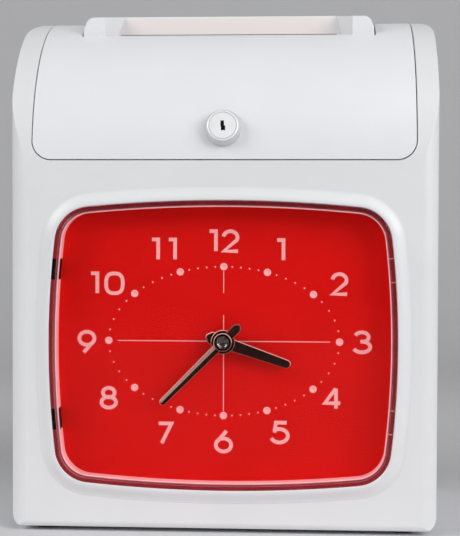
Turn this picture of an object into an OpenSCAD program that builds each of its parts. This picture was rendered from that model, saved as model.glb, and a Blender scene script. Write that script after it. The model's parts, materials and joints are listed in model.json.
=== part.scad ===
// Punch-card time clock with an analogue dial, as an assembly of separate pieces.
// Millimetres. X runs to the right, the dial faces -Y, Z is up.
// The origin is at the middle of the footprint, on the surface the feet stand on.

/* [Case] */
// Width of the case across its sides
case_w = 205; // [200:1:225]
// Depth of the case from its front face to its back
case_d = 125; // [122:1:145]
// Height of the case from its underside to its crest
case_h = 250.4; // [248:0.2:264]
// Thickness of the moulded walls
wall = 2.5; // [2:0.1:3]
// Radius of the roll from the front face up to the crest
roll_r = 75; // [70:1:80]
// Radius of the upright edges
edge_r = 8; // [5:0.5:10]
// Radius of the shoulders where the sides meet the top
shoulder_r = 10; // [7:0.5:12]
// Radius of the lower edges
base_r = 7; // [4:0.5:9]
// Radius of the rear edge of the top
rear_r = 6; // [4:0.5:8]
// Depth of the rear case
tray_d = 19.6; // [16:0.2:24]
// Height of the rubber feet
foot_h = 2; // [1.5:0.5:4]
// Radius of the rubber feet
foot_r = 7; // [5:0.5:9]

/* [Top cover] */
// Width of the fixed cheek on each side of the cover
cheek_w = 11.1; // [9:0.1:13]
// Height of the cover from its lower seam to the crest
cover_h = 73.7; // [70:0.1:78]
// Radius of the lower corners of the cover
cover_corner_r = 9; // [6:0.5:12]
// Gap of the seam round the cover
seam_gap = 0.5; // [0.4:0.1:0.8]
// Radius of the hinge barrel
barrel_r = 4; // [3.5:0.25:5]
// Radius of the hinge pins
hinge_pin_r = 1.5; // [1.2:0.1:1.8]
// Length of each hinge pin
hinge_pin_l = 11.5; // [10:0.5:12]

/* [Lock] */
// Radius of the lock head
lock_head_r = 8.8; // [8.6:0.1:11]
// Height of the lock head above the cover
lock_head_h = 4.5; // [3:0.5:6]
// Radius of the threaded lock barrel
lock_barrel_r = 8; // [7.4:0.1:8.5]
// Radius of the turning plug
lock_plug_r = 6.4; // [5.5:0.1:6.8]
// Height of the lock above the lower seam of the cover
lock_rise = 14.9; // [14.5:0.1:20]
// Length of the lock cam from its axis
cam_l = 20; // [18:0.5:22]

/* [Card path] */
// Distance from the front face of the case to the card
card_back = 42; // [41:0.5:45]
// Width of the time card
card_w = 86; // [80:1:88]
// Depth of the channel that the card slides in
channel_d = 6; // [5:0.5:7]
// Thickness of the chute walls
chute_wall = 1.5; // [1.2:0.1:2]
// Length of the chute below the throat
chute_l = 150; // [140:1:160]
// Width of the throat where it leaves the cover
throat_w = 146; // [142:1:156]
// How much each side of the throat leans in towards its top
throat_taper = 1; // [0:0.5:4]
// Height of the throat above the crest
throat_rise = 2; // [1:0.1:6]
// Depth of the throat from front to back
throat_d = 23.5; // [21:0.5:26]
// Width of the mouth of the throat along its lip
mouth_w = 124; // [118:1:126]
// How much each side of the mouth narrows towards its back
mouth_taper = 8.5; // [4:0.5:9]
// Gap between the throat and the cover
throat_gap = 0.6; // [0.6:0.1:1.2]

/* [Dial] */
// Width of the plain panel at each side of the lens
panel_side = 19.5; // [17.5:0.1:24]
// Height of the plain panel below the lens
panel_low = 19.2; // [17:0.1:24]
// Height of the plain panel between the lens and the cover
panel_high = 19.6; // [18:0.1:24]
// How far the dial centre lies above the middle of the lens
dial_lift = 1.3; // [0:0.1:3]
// Bow of the upright sides of the lens
lens_bow_x = 5.5; // [3:0.25:7]
// Bow of the upper and lower sides of the lens
lens_bow_z = 5.2; // [3:0.2:7]
// Corner radius of the lens
lens_corner_r = 17; // [14:0.5:20]
// Wall of the lens
lens_wall = 2; // [1.5:0.1:2.5]
// How far the lens stands out from the case
lens_rise = 5; // [4:0.5:7]
// Depth of the dial behind the front face of the case
dial_depth = 10; // [9:0.5:11]
// Width of the raised bezel
bezel_w = 6; // [5:0.5:8]
// Height of the raised bezel
bezel_rise = 2; // [1:0.25:4]
// Half width of the ellipse that the hour markers lie on
marker_a = 55.8; // [50:0.2:60]
// Half height of the ellipse that the hour markers lie on
marker_b = 36; // [32:0.2:42]
// Radius of an hour marker
marker_r = 1.8; // [1.2:0.1:2.4]

/* [Hands] */
// Hour shown on the dial
shown_hour = 3; // [0:1:11]
// Minute shown on the dial
shown_minute = 37.5; // [0:0.5:59.5]
// Length of the hour hand
hour_l = 34; // [28:0.2:35]
// Length of the minute hand
minute_l = 42.4; // [38:0.1:46]
// Tail of the hour hand
hour_tail = 8.5; // [7:0.5:10]
// Tail of the minute hand
minute_tail = 11.5; // [9:0.5:13]
// Thickness of the hands
hand_t = 1; // [0.6:0.1:1.2]

/* [Movement] */
// Half width of the movement
movement_half = 26; // [25:0.5:30]
// Depth inside the movement from the dial to its rear cover
movement_d = 17.5; // [17:0.5:20]
// Radius of the minute arbor
arbor_r = 1.5; // [1.3:0.05:1.6]
// Radius of the hour tube
hour_tube_r = 2.6; // [2.4:0.05:2.8]
// Radius of the threaded bush
bush_r = 4; // [3.7:0.1:4.5]

/* [Printer] */
// Width of the bay between each side plate and the case wall
bay_w = 36; // [34:0.5:37]
// Thickness of the side plates
plate_t = 2; // [1.5:0.1:2.5]
// Radius of the driven rollers
feed_r = 8; // [7.5:0.1:9]
// Radius of the pinch rollers
pinch_r = 6.5; // [6.2:0.1:7]
// Radius of the feed shaft
feed_shaft_r = 3; // [2.5:0.1:3.2]
// Radius of the pinch shaft
pinch_shaft_r = 2; // [1.6:0.1:2.2]
// Radius of the main guide rod
rod_r = 3; // [2.5:0.1:3.5]
// Radius of the upper guide rod
upper_rod_r = 2; // [1.6:0.1:2.4]
// Radius of the belt pulleys
pulley_r = 6; // [5.5:0.1:6.5]
// Radius of the print head body
head_r = 11; // [9:0.5:11.5]

/* [Setting] */
// Radius of the setting buttons
button_r = 2.5; // [2:0.1:2.8]
// Travel of the setting buttons
button_travel = 0.8; // [0.5:0.1:1]

/* [Fasteners] */
// Radius of the screw shanks
screw_r = 1.5; // [1.3:0.05:1.7]
// Length of the screw shanks
screw_l = 8; // [7:0.5:8.5]
// Radius of the screw heads
screw_head_r = 2.8; // [2.4:0.1:3]
// Height of the screw heads
screw_head_h = 2; // [1.6:0.1:2.2]

/* [Mounting] */
// Distance between the two wall keyholes
keyhole_span = 100; // [80:1:120]
// Radius of the keyhole entry
keyhole_r = 4.5; // [4:0.25:5.5]
// Radius of the keyhole slot
keyhole_slot_r = 2.25; // [1.75:0.25:2.5]
// Length of the keyhole slot
keyhole_slot_l = 8; // [7:0.5:12]

/* [Hidden] */
$fn = 64;

// Clearance of a turning or sliding fit, on the radius
run_fit = 0.05;
// Clearance of a loose fit, on the side
loose_fit = 0.3;
// How far a cutter reaches past what it cuts
over = 1;

// Datums of the case
front_y = lens_rise - (case_d + lens_rise) / 2;
back_y = front_y + case_d;
base_z = foot_h;
top_z = base_z + case_h;
floor_z = base_z + wall;
inner_x = case_w / 2 - wall;
inner_front = front_y + wall;
inner_back = back_y - wall;
part_y = back_y - tray_d;
sill_r = 3;

// Roll of the top front
roll_y = front_y + roll_r;
roll_z = top_z - roll_r;
function roll_height(y, inset = 0) = roll_z + sqrt(pow(roll_r - inset, 2) - pow(roll_y - y, 2));

// Cover and hinge
cover_half = case_w / 2 - cheek_w;
cover_z = top_z - cover_h;
hinge_y = part_y - seam_gap - barrel_r;
hinge_z = top_z - barrel_r;
hinge_pin_inner = cover_half - 7;
ledge_w = 2.5;
ledge_t = 1.6;
rim_inset = 3.4;
rim_t = 1.5;
rim_depth = 4.5;

// Lock, on an axis square to the roll
lock_z = cover_z + lock_rise;
lock_angle = asin((lock_z - roll_z) / roll_r);
lock_y = roll_y - roll_r * cos(lock_angle);
lock_pad = 4.4;
lock_nut_t = 2.4;
lock_nut_r = lock_barrel_r + 1.6;
lock_barrel_l = 8;
cam_t = 1.6;
cam_w = 8;
strike_gap = 0.6;
strike_low = lock_z - cam_l - 5;
strike_back = lock_y + (lock_barrel_l + loose_fit) * cos(lock_angle) - cam_l * sin(lock_angle) - strike_gap;

// Card path
card_y = front_y + card_back;
channel_front = card_y - channel_d / 2;
channel_back = card_y + channel_d / 2;
chute_half = card_w / 2 + 1.5;
chute_front = channel_front - chute_wall;
chute_back = channel_back + chute_wall;
throat_lip = 2;
throat_front = channel_front - throat_lip;
throat_back = throat_front + throat_d;
throat_base = top_z - 22;
throat_top = top_z + throat_rise;
throat_crest = throat_front + 18;
ear_drop = 2.5;
ear_slope = atan(ear_drop / (throat_crest - channel_front));
chute_bottom = throat_base - chute_l;
card_grip = 0.3;

// Dial stack, from the front backwards
lens_w = case_w - 2 * panel_side;
lens_h = cover_z - base_z - panel_low - panel_high;
lens_z = base_z + panel_low + lens_h / 2;
dial_z = lens_z + dial_lift;
lens_front = front_y - lens_rise;
dial_y = front_y + dial_depth;
dial_t = 1.5;
dial_back = dial_y + dial_t;
collar_h = 1.6;
collar_t = 0.7;
dial_lip = lens_wall + loose_fit + collar_t;
dial_margin = 6;
dial_boss_r = 3.6;
marker_t = 0.4;
marker_stretch = 1.093;
tab_l = 10;
tab_z = 36;
tab_x = 41;
tab_d = 4.5;

// Hands
hour_angle = 30 * shown_hour + shown_minute / 2;
minute_angle = 6 * shown_minute;
nut_t = 2;
hour_hand_back = dial_y - nut_t - 2;
hour_hand_front = hour_hand_back - hand_t;
minute_hand_back = hour_hand_front - 1.2;
minute_hand_front = minute_hand_back - hand_t;
hour_hub_r = 5.8;
minute_hub_r = 4.2;
hour_hand_w = [5.4, 3.8];
minute_hand_w = [3.9, 3.2];
cap_r = 3;
cap_h = 1.5;

// Movement levels
movement_wall = 2;
movement_inner = dial_back + movement_wall;
movement_back = dial_back + movement_d;
movement_cover_t = 2;
wheel_t = 1.5;
hour_wheel_y = movement_inner + 0.3;
minute_pinion_l = 3;
minute_wheel_y = hour_wheel_y + minute_pinion_l;
centre_wheel_y = minute_wheel_y + wheel_t + 2.2;
motion_module = 0.5;
motion_teeth = [12, 36, 10, 40];
motion_distance = motion_module * (motion_teeth[0] + motion_teeth[1]) / 2;
hour_module = 2 * motion_distance / (motion_teeth[2] + motion_teeth[3]);
drive_module = 0.4;
drive_teeth = [10, 60];
drive_distance = drive_module * (drive_teeth[0] + drive_teeth[1]) / 2;
stud_r = 1;
motor_shaft_r = 0.75;

// Printer frame
plate_out = inner_x - bay_w;
plate_in = plate_out - plate_t;
frame_boss_h = 6.5;
frame_boss_r = 4;
frame_foot_z = floor_z + frame_boss_h;
frame_foot_w = 14;
frame_front = card_y - 9;
frame_rear = card_y + 23;
feed_z = throat_base - 78;
feed_y = card_y + card_grip + feed_r;
pinch_y = card_y - card_grip - pinch_r;
roller_x = 25;
roller_w = 12;
feed_module = 0.8;
feed_teeth = [10, 40];
feed_distance = feed_module * (feed_teeth[0] + feed_teeth[1]) / 2;
feed_motor_y = feed_y + feed_distance;
feed_motor_r = 11.5;
bush_flange = 1;
bush_wall = 2;
gear_x = plate_out + bush_flange + 1;
gear_w = 5;

// Print line and carriage
print_drop = 32;
print_z = throat_base - print_drop;
print_window = [84, 12];
ribbon_t = 0.3;
ribbon_y = chute_front - 0.8;
rod_y = card_y - 15;
rod_z = print_z - 13;
upper_rod_z = print_z + 11;
carriage_half = 11;
carriage_front = rod_y - 6;
carriage_back = rod_y + 5;
carriage_low = rod_z - 5;
carriage_high = upper_rod_z + 5;
head_front = carriage_front - 7;
nose_half = 4;
belt_x = plate_in - 17;
belt_z = print_z - 31;
belt_t = 0.8;
belt_w = 4;
belt_stud_r = 1.5;
belt_y = rod_y - 1;
cross_back = belt_y - 1;
cross_t = 2;
carriage_motor_r = 11;
carriage_motor_gap = 1.5;
carriage_motor_l = cross_back - cross_t - dial_back - carriage_motor_gap;
cassette_low = carriage_high + 2;
cassette_high = cassette_low + 6;
cassette_front = rod_y - 4;
cassette_arm_x = [plate_in - 12, plate_in - 4];
knob_x = belt_x;
knob_y = cassette_front + 7;
knob_r = 4;
knob_h = 3.2;
knob_pin_r = 1.5;

// Setting panel, carried by the left side plate
panel_z = print_z + 7;
panel_t = 2;
panel_front = card_y - 23;
panel_back = card_y + 5;
panel_left = -inner_x + 8;
panel_mid = (panel_left - plate_out) / 2;
button_y = card_y - 2;
button_pitch = (-plate_out - panel_left) / 4;
button_x = [for (i = [1:-1:-1]) panel_mid + i * button_pitch];
button_h = button_travel + 2.2;
button_skirt = 0.8;

// Electronics
board_t = 1.6;
board_post = 9;
board_back = inner_back - board_post;
board_front = board_back - board_t;
board_half = inner_x - 22;
board_z = [floor_z + 22, floor_z + 142];
board_hole_inset = 6;
jack_x = 60;
jack_z = floor_z + 12;
jack_half = 7;
jack_l = 14;
jack_bore_r = 3.1;
cell_r = 7.25;
cell_l = 50;
cell_pitch = 14.2;
battery_y = card_y + 35;

// Places of the identical screws
case_boss_x = inner_x - 5;
case_boss_z = [floor_z + 9, top_z - 35];
case_boss_r = 5;
case_boss_l = 20;
boss_end = 2.5;
foot_x = case_w / 2 - 17;
foot_y = [front_y + 15, part_y - 14];
frame_screw_x = plate_in + 9;
frame_screw_y = [frame_front + 6, frame_rear - 6];
dial_boss_x = lens_w / 2;
dial_boss_z = lens_h / 2;
board_screw_x = board_half - board_hole_inset;
keyhole_z = top_z - 50;

// Boxes, rods and extrusions along the axes
module box(low, high) {
    translate(low) cube(high - low);
}
module rod_x(x0, x1, y, z, r) {
    translate([x0, y, z]) rotate([0, 90, 0]) cylinder(h = x1 - x0, r = r);
}
module rod_y(y0, y1, x, z, r) {
    translate([x, y0, z]) rotate([-90, 0, 0]) cylinder(h = y1 - y0, r = r);
}
module rod_z(z0, z1, x, y, r) {
    translate([x, y, z0]) cylinder(h = z1 - z0, r = r);
}
module extrude_x(x0, x1) {
    translate([x0, 0, 0]) rotate([90, 0, 90]) linear_extrude(x1 - x0) children();
}
module extrude_y(y0, y1) {
    translate([0, y1, 0]) rotate([90, 0, 0]) linear_extrude(y1 - y0) children();
}
module both_sides() {
    children();
    mirror([1, 0, 0]) children();
}

// A rectangle with its own radius at each corner, from the low left one round to the high left one
module corner_cut(r) {
    difference() {
        translate([-over, -over]) square(r + over);
        translate([r, r]) circle(r);
    }
}
module rounded_square(low, high, radii) {
    difference() {
        translate(low) square(high - low);
        if (radii[0] > 0) translate(low) corner_cut(radii[0]);
        if (radii[1] > 0) translate([high[0], low[1]]) mirror([1, 0]) corner_cut(radii[1]);
        if (radii[2] > 0) translate(high) rotate(180) corner_cut(radii[2]);
        if (radii[3] > 0) translate([low[0], high[1]]) mirror([0, 1]) corner_cut(radii[3]);
    }
}

// Barrel outline of the lens, moved out by grow: bowed sides and round corners
function arc(centre, r, from, to, steps) = [
    for (i = [0:steps]) let (a = from + (to - from) * i / steps) centre + r * [cos(a), sin(a)]
];
function bow_radius(half_chord, bow) = (half_chord * half_chord + bow * bow) / (2 * bow);
side_r = bow_radius(lens_h / 2, lens_bow_x);
cap_side_r = bow_radius(lens_w / 2, lens_bow_z);
side_centre = [lens_w / 2 - side_r, 0];
cap_centre = [0, lens_h / 2 - cap_side_r];
centre_gap = norm(cap_centre - side_centre);
reach_side = side_r - lens_corner_r;
reach_cap = cap_side_r - lens_corner_r;
along = (reach_side * reach_side - reach_cap * reach_cap + centre_gap * centre_gap) / (2 * centre_gap);
across = sqrt(reach_side * reach_side - along * along);
toward = (cap_centre - side_centre) / centre_gap;
corner_centre = side_centre + along * toward + across * [-toward[1], toward[0]];
side_end = atan2(corner_centre[1] - side_centre[1], corner_centre[0] - side_centre[0]);
cap_start = atan2(corner_centre[1] - cap_centre[1], corner_centre[0] - cap_centre[0]);
function lens_quarter(grow) = concat(
    arc(side_centre, side_r + grow, 0, side_end, 4),
    arc(corner_centre, lens_corner_r + grow, side_end + 9, cap_start - 9, 5),
    arc(cap_centre, cap_side_r + grow, cap_start, 90, 4)
);
function lens_outline(grow) = let (q = lens_quarter(grow), n = len(q)) concat(
    q,
    [for (i = [n - 2:-1:0]) [-q[i][0], q[i][1]]],
    [for (i = [1:n - 1]) -q[i]],
    [for (i = [n - 2:-1:1]) [q[i][0], -q[i][1]]]
);
function lens_side_x(z) = side_centre[0] + sqrt(side_r * side_r - z * z);
function lens_cap_z(x) = cap_centre[1] + sqrt(cap_side_r * cap_side_r - x * x);
module lens_plate(y0, y1, grow) {
    extrude_y(y0, y1) translate([0, lens_z]) polygon(lens_outline(grow));
}

// Spur gear outline with a tooth centred on the given angle
function gear_points(teeth, module_mm, angle) = let (
    pitch_r = module_mm * teeth / 2,
    root_r = pitch_r - 1.2 * module_mm,
    tip_r = pitch_r + 0.8 * module_mm,
    step = 360 / teeth
) [
    for (i = [0:teeth - 1]) for (corner = [[root_r, -0.3], [tip_r, -0.1], [tip_r, 0.1], [root_r, 0.3]])
        let (a = angle + step * (i + corner[1])) corner[0] * [cos(a), sin(a)]
];
module gear(teeth, module_mm, angle) {
    polygon(gear_points(teeth, module_mm, angle));
}

// One pan-head screw, its shank along -Z and its head above
module screw() {
    slot_w = 0.8;
    slot_d = 0.9;
    difference() {
        union() {
            cylinder(h = screw_head_h, r = screw_head_r);
            translate([0, 0, -screw_l]) cylinder(h = screw_l, r = screw_r);
        }
        for (turn = [0, 90]) rotate(turn) translate([0, 0, screw_head_h])
            cube([2 * screw_r, slot_w, 2 * slot_d], center = true);
    }
}
module case_screw_places() {
    for (side = [-1, 1], z = case_boss_z) translate([side * case_boss_x, part_y, z]) children();
}
module dial_screw_places() {
    for (side = [-1, 1], up = [-1, 1])
        translate([side * dial_boss_x, dial_back, lens_z + up * dial_boss_z]) children();
}
module board_screw_places() {
    for (side = [-1, 1], z = [board_z[0] + board_hole_inset, board_z[1] - board_hole_inset])
        translate([side * board_screw_x, board_front, z]) children();
}
module frame_screw_places() {
    for (side = [-1, 1], y = frame_screw_y)
        translate([side * frame_screw_x, y, frame_foot_z + plate_t]) children();
}
module foot_places() {
    for (side = [-1, 1], y = foot_y) translate([side * foot_x, y, 0]) children();
}
module screws() {
    color("silver") {
        case_screw_places() translate([0, boss_end, 0]) rotate([-90, 0, 0]) screw();
        dial_screw_places() rotate([-90, 0, 0]) screw();
        board_screw_places() rotate([90, 0, 0]) screw();
        frame_screw_places() screw();
    }
}

// Outer form of the case, moved in by the given amount
module case_solid(inset) {
    half = case_w / 2;
    function inner(r) = max(r - inset, 0);
    intersection() {
        extrude_x(-half, half) rounded_square(
            [front_y + inset, base_z + inset], [back_y - inset, top_z - inset],
            [inner(sill_r), inner(sill_r), inner(rear_r), inner(roll_r)]);
        translate([0, 0, base_z - over]) linear_extrude(case_h + 2 * over) rounded_square(
            [inset - half, front_y + inset], [half - inset, back_y - inset],
            [inner(edge_r), inner(edge_r), inner(edge_r), inner(edge_r)]);
        extrude_y(front_y - over, back_y + over) rounded_square(
            [inset - half, base_z + inset], [half - inset, top_z - inset],
            [inner(base_r), inner(base_r), inner(shoulder_r), inner(shoulder_r)]);
    }
}
module case_shell(outer, inner) {
    difference() {
        case_solid(outer);
        case_solid(inner);
    }
}

// Front outline of the cover, moved out by grow
module cover_outline(grow) {
    r = max(cover_corner_r + grow, 0.5);
    rounded_square(
        [-cover_half - grow, cover_z - grow], [cover_half + grow, top_z + 2 * roll_r], [r, r, 0, 0]);
}

module bezel() {
    slice = 0.1;
    hull() {
        lens_plate(front_y - slice, front_y, bezel_w);
        lens_plate(front_y - bezel_rise, front_y - bezel_rise + slice, bezel_w / 4);
    }
}

module front_case() {
    cheek_boss_r = barrel_r - 0.5;
    color("gainsboro") difference() {
        union() {
            intersection() {
                difference() {
                    union() {
                        case_shell(0, wall);
                        bezel();
                    }
                    extrude_y(front_y - over, part_y + over) cover_outline(seam_gap);
                }
                box([-case_w, front_y - bezel_rise - over, 0], [case_w, part_y, top_z + over]);
            }
            cover_ledge();
            intersection() {
                both_sides() rod_x(cover_half + seam_gap, inner_x + over, hinge_y, hinge_z, cheek_boss_r);
                case_solid(wall / 4);
            }
            front_bosses();
            box([-cam_w, inner_front - over, strike_low], [cam_w, strike_back, cover_z - over]);
        }
        lens_plate(lens_front - over, inner_front + over, loose_fit);
        both_sides() rod_x(hinge_pin_inner, hinge_pin_inner + hinge_pin_l, hinge_y, hinge_z, hinge_pin_r);
        case_screw_places() rotate([90, 0, 0]) cylinder(h = screw_l - boss_end, r = screw_r);
        dial_screw_places() translate([0, -screw_l, 0]) rotate([-90, 0, 0])
            cylinder(h = screw_l, r = screw_r);
        frame_screw_places() translate([0, 0, -screw_l]) cylinder(h = screw_l, r = screw_r);
        foot_places() cylinder(h = floor_z + over, r = foot_r / 3);
    }
}

// Ledge under the seam, joined to the wall outside the opening and clear of the cover inside it
module cover_ledge() {
    reach = loose_fit + ledge_t;
    module ring(outer, inner, y1) {
        extrude_y(front_y - over, y1) difference() {
            cover_outline(outer);
            cover_outline(inner);
        }
    }
    intersection() {
        case_shell(wall - 0.2, wall + reach);
        ring(ledge_w + seam_gap, seam_gap, roll_y);
    }
    intersection() {
        case_shell(wall + loose_fit, wall + reach);
        ring(seam_gap + 0.1, -ledge_w, roll_y);
    }
}

// Bosses for the rear screws, the dial screws and the printer frame
module front_bosses() {
    intersection() {
        case_screw_places() {
            rotate([90, 0, 0]) cylinder(h = case_boss_l, r = case_boss_r);
        }
        case_solid(wall / 2);
    }
    intersection() {
        for (z = case_boss_z) both_sides()
            box([case_boss_x, part_y - case_boss_l, z - 1.5], [inner_x + over, part_y, z + 1.5]);
        case_solid(wall / 2);
    }
    dial_screw_places() translate([0, inner_front - over - dial_back, 0]) rotate([-90, 0, 0])
        cylinder(h = dial_y - inner_front + over, r = dial_boss_r);
    for (side = [-1, 1], y = frame_screw_y)
        rod_z(floor_z - over, frame_foot_z, side * frame_screw_x, y, frame_boss_r);
    for (side = [-1, 1]) translate([side * (cell_l / 2 + 2), battery_y, floor_z - over])
        translate([-1, -2 * cell_r, 0]) cube([2, 4 * cell_r, over + cell_r]);
}

module rear_case() {
    vent_count = 9;
    vent_pitch = 6;
    vent_size = [70, 2.5];
    vent_z = floor_z + 60;
    color("gainsboro") difference() {
        union() {
            intersection() {
                case_shell(0, wall);
                box([-case_w, part_y, 0], [case_w, back_y + over, top_z + over]);
            }
            intersection() {
                case_screw_places() rotate([-90, 0, 0])
                    cylinder(h = tray_d - wall / 2, r = case_boss_r + 0.5);
                case_solid(wall / 2);
            }
            board_screw_places() translate([0, board_t, 0]) rotate([-90, 0, 0])
                cylinder(h = board_post + over, r = 2 * screw_r);
        }
        case_screw_places() translate([0, -over, 0]) rotate([-90, 0, 0])
            cylinder(h = tray_d + 2 * over, r = screw_r + 2 * run_fit);
        case_screw_places() translate([0, boss_end, 0]) rotate([-90, 0, 0])
            cylinder(h = tray_d, r = screw_head_r + loose_fit);
        board_screw_places() rotate([-90, 0, 0]) cylinder(h = screw_l, r = screw_r);
        for (i = [0:vent_count - 1]) let (z = vent_z + i * vent_pitch)
            box([-vent_size[0] / 2, inner_back - over, z],
                [vent_size[0] / 2, back_y + over, z + vent_size[1]]);
        for (side = [-1, 1]) keyhole(side * keyhole_span / 2);
        jack_opening(loose_fit / 3);
    }
}
module keyhole(x) {
    rod_y(inner_back - over, back_y + over, x, keyhole_z, keyhole_r);
    rod_y(inner_back - over, back_y + over, x, keyhole_z + keyhole_slot_l, keyhole_slot_r);
    box([x - keyhole_slot_r, inner_back - over, keyhole_z],
        [x + keyhole_slot_r, back_y + over, keyhole_z + keyhole_slot_l]);
}
module jack_opening(gap) {
    rod_y(inner_back - over, back_y + over, jack_x, jack_z, jack_bore_r + 1.5 + gap);
}

module top_cover() {
    color("whitesmoke") difference() {
        union() {
            intersection() {
                case_shell(0, wall);
                extrude_y(front_y - over, hinge_y) cover_outline(0);
            }
            intersection() {
                case_shell(wall / 2, wall + rim_depth);
                extrude_y(front_y - over, roll_y) difference() {
                    cover_outline(-rim_inset);
                    cover_outline(-rim_inset - rim_t);
                }
            }
            rod_x(-cover_half, cover_half, hinge_y, hinge_z, barrel_r);
            at_lock() translate([0, 0, -lock_pad]) cylinder(h = lock_pad - wall / 2, r = lock_nut_r + 1);
        }
        both_sides() rod_x(hinge_pin_inner, cover_half + over, hinge_y, hinge_z, hinge_pin_r + run_fit);
        at_lock() translate([0, 0, -2 * lock_barrel_l]) cylinder(h = 3 * lock_barrel_l, r = lock_barrel_r);
        throat_hole();
    }
}
module throat_hole() {
    r = 2;
    translate([0, 0, throat_base]) linear_extrude(case_h) rounded_square(
        [-throat_w / 2 - throat_gap, throat_front - throat_gap],
        [throat_w / 2 + throat_gap, throat_back + throat_gap], [r, r, r, r]);
}

module hinge_pins() {
    color("silver") both_sides()
        rod_x(hinge_pin_inner, hinge_pin_inner + hinge_pin_l, hinge_y, hinge_z, hinge_pin_r);
}

// Wedge-shaped mouth that stands up through the cover and guides the card into the chute
module card_throat() {
    lip_z = roll_height(throat_front) + 0.4;
    ear_r = 4.5;
    half = throat_w / 2;
    top_half = half - throat_taper;
    mouth_half = mouth_w / 2;
    mouth_back_half = mouth_half - mouth_taper;
    mouth_back = throat_crest + 1;
    funnel_z = throat_base + 6;
    color("white") difference() {
        intersection() {
            extrude_x(-half, half) polygon([
                [throat_front, throat_base], [throat_back, throat_base], [throat_back, throat_top],
                [throat_crest, throat_top], [channel_front, throat_top - ear_drop],
                [throat_front + throat_lip / 2, lip_z], [throat_front, lip_z - 1]]);
            extrude_y(throat_front - over, throat_back + over) polygon([
                [-half, throat_base - over], [half, throat_base - over], [half, lip_z - 2],
                [top_half, throat_top + over], [-top_half, throat_top + over], [-half, lip_z - 2]]);
        }
        for (side = [0, 1]) mirror([side, 0, 0]) translate([top_half, throat_crest, throat_top]) {
            rotate([ear_slope, 0, 0]) extrude_y(-throat_d, 0) rotate(180) corner_cut(ear_r);
            extrude_y(0, throat_d) rotate(180) corner_cut(ear_r);
        }
        box([-chute_half, channel_front, throat_base - over],
            [chute_half, channel_back, throat_top + over]);
        intersection() {
            extrude_x(-mouth_half, mouth_half) polygon([
                [channel_front, funnel_z], [channel_back, funnel_z],
                [mouth_back, throat_top + over], [throat_front - over, throat_top + over],
                [throat_front - over, lip_z], [channel_front, lip_z]]);
            extrude_y(throat_front - over, throat_back + over) polygon([
                [-chute_half, funnel_z], [chute_half, funnel_z],
                [mouth_half, lip_z - 3], [mouth_half, throat_top + 2 * over],
                [-mouth_half, throat_top + 2 * over], [-mouth_half, lip_z - 3]]);
            translate([0, 0, throat_base]) linear_extrude(throat_top - throat_base + 2 * over) polygon([
                [-mouth_half, throat_front - over], [mouth_half, throat_front - over],
                [mouth_half, channel_front], [mouth_back_half, mouth_back + over],
                [-mouth_back_half, mouth_back + over], [-mouth_half, channel_front]]);
        }
    }
}

module rubber_feet() {
    color("dimgray") foot_places() {
        cylinder(h = foot_h, r = foot_r);
        cylinder(h = floor_z, r = foot_r / 3);
    }
}

// Frame of the lock: X across, Y up along the cover, Z out of the cover
module at_lock() {
    translate([0, lock_y, lock_z]) rotate([90 - lock_angle, 0, 0]) children();
}
module lock_body() {
    rim = 0.8;
    color("silver") at_lock() difference() {
        union() {
            cylinder(h = rim, r = lock_head_r);
            translate([0, 0, rim])
                cylinder(h = lock_head_h - rim, r1 = lock_head_r, r2 = lock_plug_r + rim);
            translate([0, 0, -lock_barrel_l]) cylinder(h = lock_barrel_l, r = lock_barrel_r);
        }
        translate([0, 0, -2 * lock_barrel_l]) cylinder(h = 4 * lock_barrel_l, r = lock_plug_r + run_fit);
    }
}
module lock_nut() {
    color("silver") at_lock() translate([0, 0, -lock_pad - lock_nut_t]) difference() {
        cylinder(h = lock_nut_t, r = lock_nut_r, $fn = 6);
        translate([0, 0, -over]) cylinder(h = lock_nut_t + 2 * over, r = lock_barrel_r);
    }
}
module lock_plug() {
    key_w = 1.7;
    key_low_w = 2.1;
    key_h = 2.4;
    key_step = 0.2;
    key_lap = 0.3;
    key_d = 7;
    color("lightgray") at_lock() difference() {
        translate([0, 0, -lock_barrel_l - loose_fit]) cylinder(
            h = lock_barrel_l + loose_fit + lock_head_h, r = lock_plug_r);
        translate([-key_w / 2 - key_step, -key_lap, lock_head_h - key_d])
            cube([key_w, key_h + key_lap, key_d + over]);
        translate([-key_low_w / 2 + key_step, -key_h, lock_head_h - key_d])
            cube([key_low_w, key_h, key_d + over]);
    }
}
module lock_cam() {
    color("silver") at_lock() translate([0, 0, -lock_barrel_l - loose_fit - cam_t])
        linear_extrude(cam_t) union() {
            circle(lock_plug_r);
            translate([0, -cam_w / 2]) square([cam_l, cam_w]);
        }
}

// Clear cap over the dial, with snap tabs behind its rim
module dial_lens() {
    color("lightblue", 0.4) {
        difference() {
            lens_plate(lens_front, inner_front, 0);
            lens_plate(lens_front + lens_wall, inner_front + over, -lens_wall);
        }
        lens_tabs(0);
    }
}
module lens_tabs(gap) {
    z0 = inner_front - 2 * gap - 0.5;
    z1 = inner_front + tab_d + gap;
    half = tab_l / 2 + gap;
    for (side = [-1, 1], up = [-1, 1]) {
        x = side * (lens_side_x(tab_z + tab_l / 2) - lens_wall / 2);
        z = lens_z + up * tab_z;
        box([x - lens_wall / 2 - gap, z0, z - half], [x + lens_wall / 2 + gap, z1, z + half]);
        cap_x = side * tab_x;
        cap_z = lens_z + up * (lens_cap_z(tab_x + tab_l / 2) - lens_wall / 2);
        box([cap_x - half / 2, z0, cap_z - lens_wall / 2 - gap],
            [cap_x + half / 2, z1, cap_z + lens_wall / 2 + gap]);
    }
}
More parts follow.
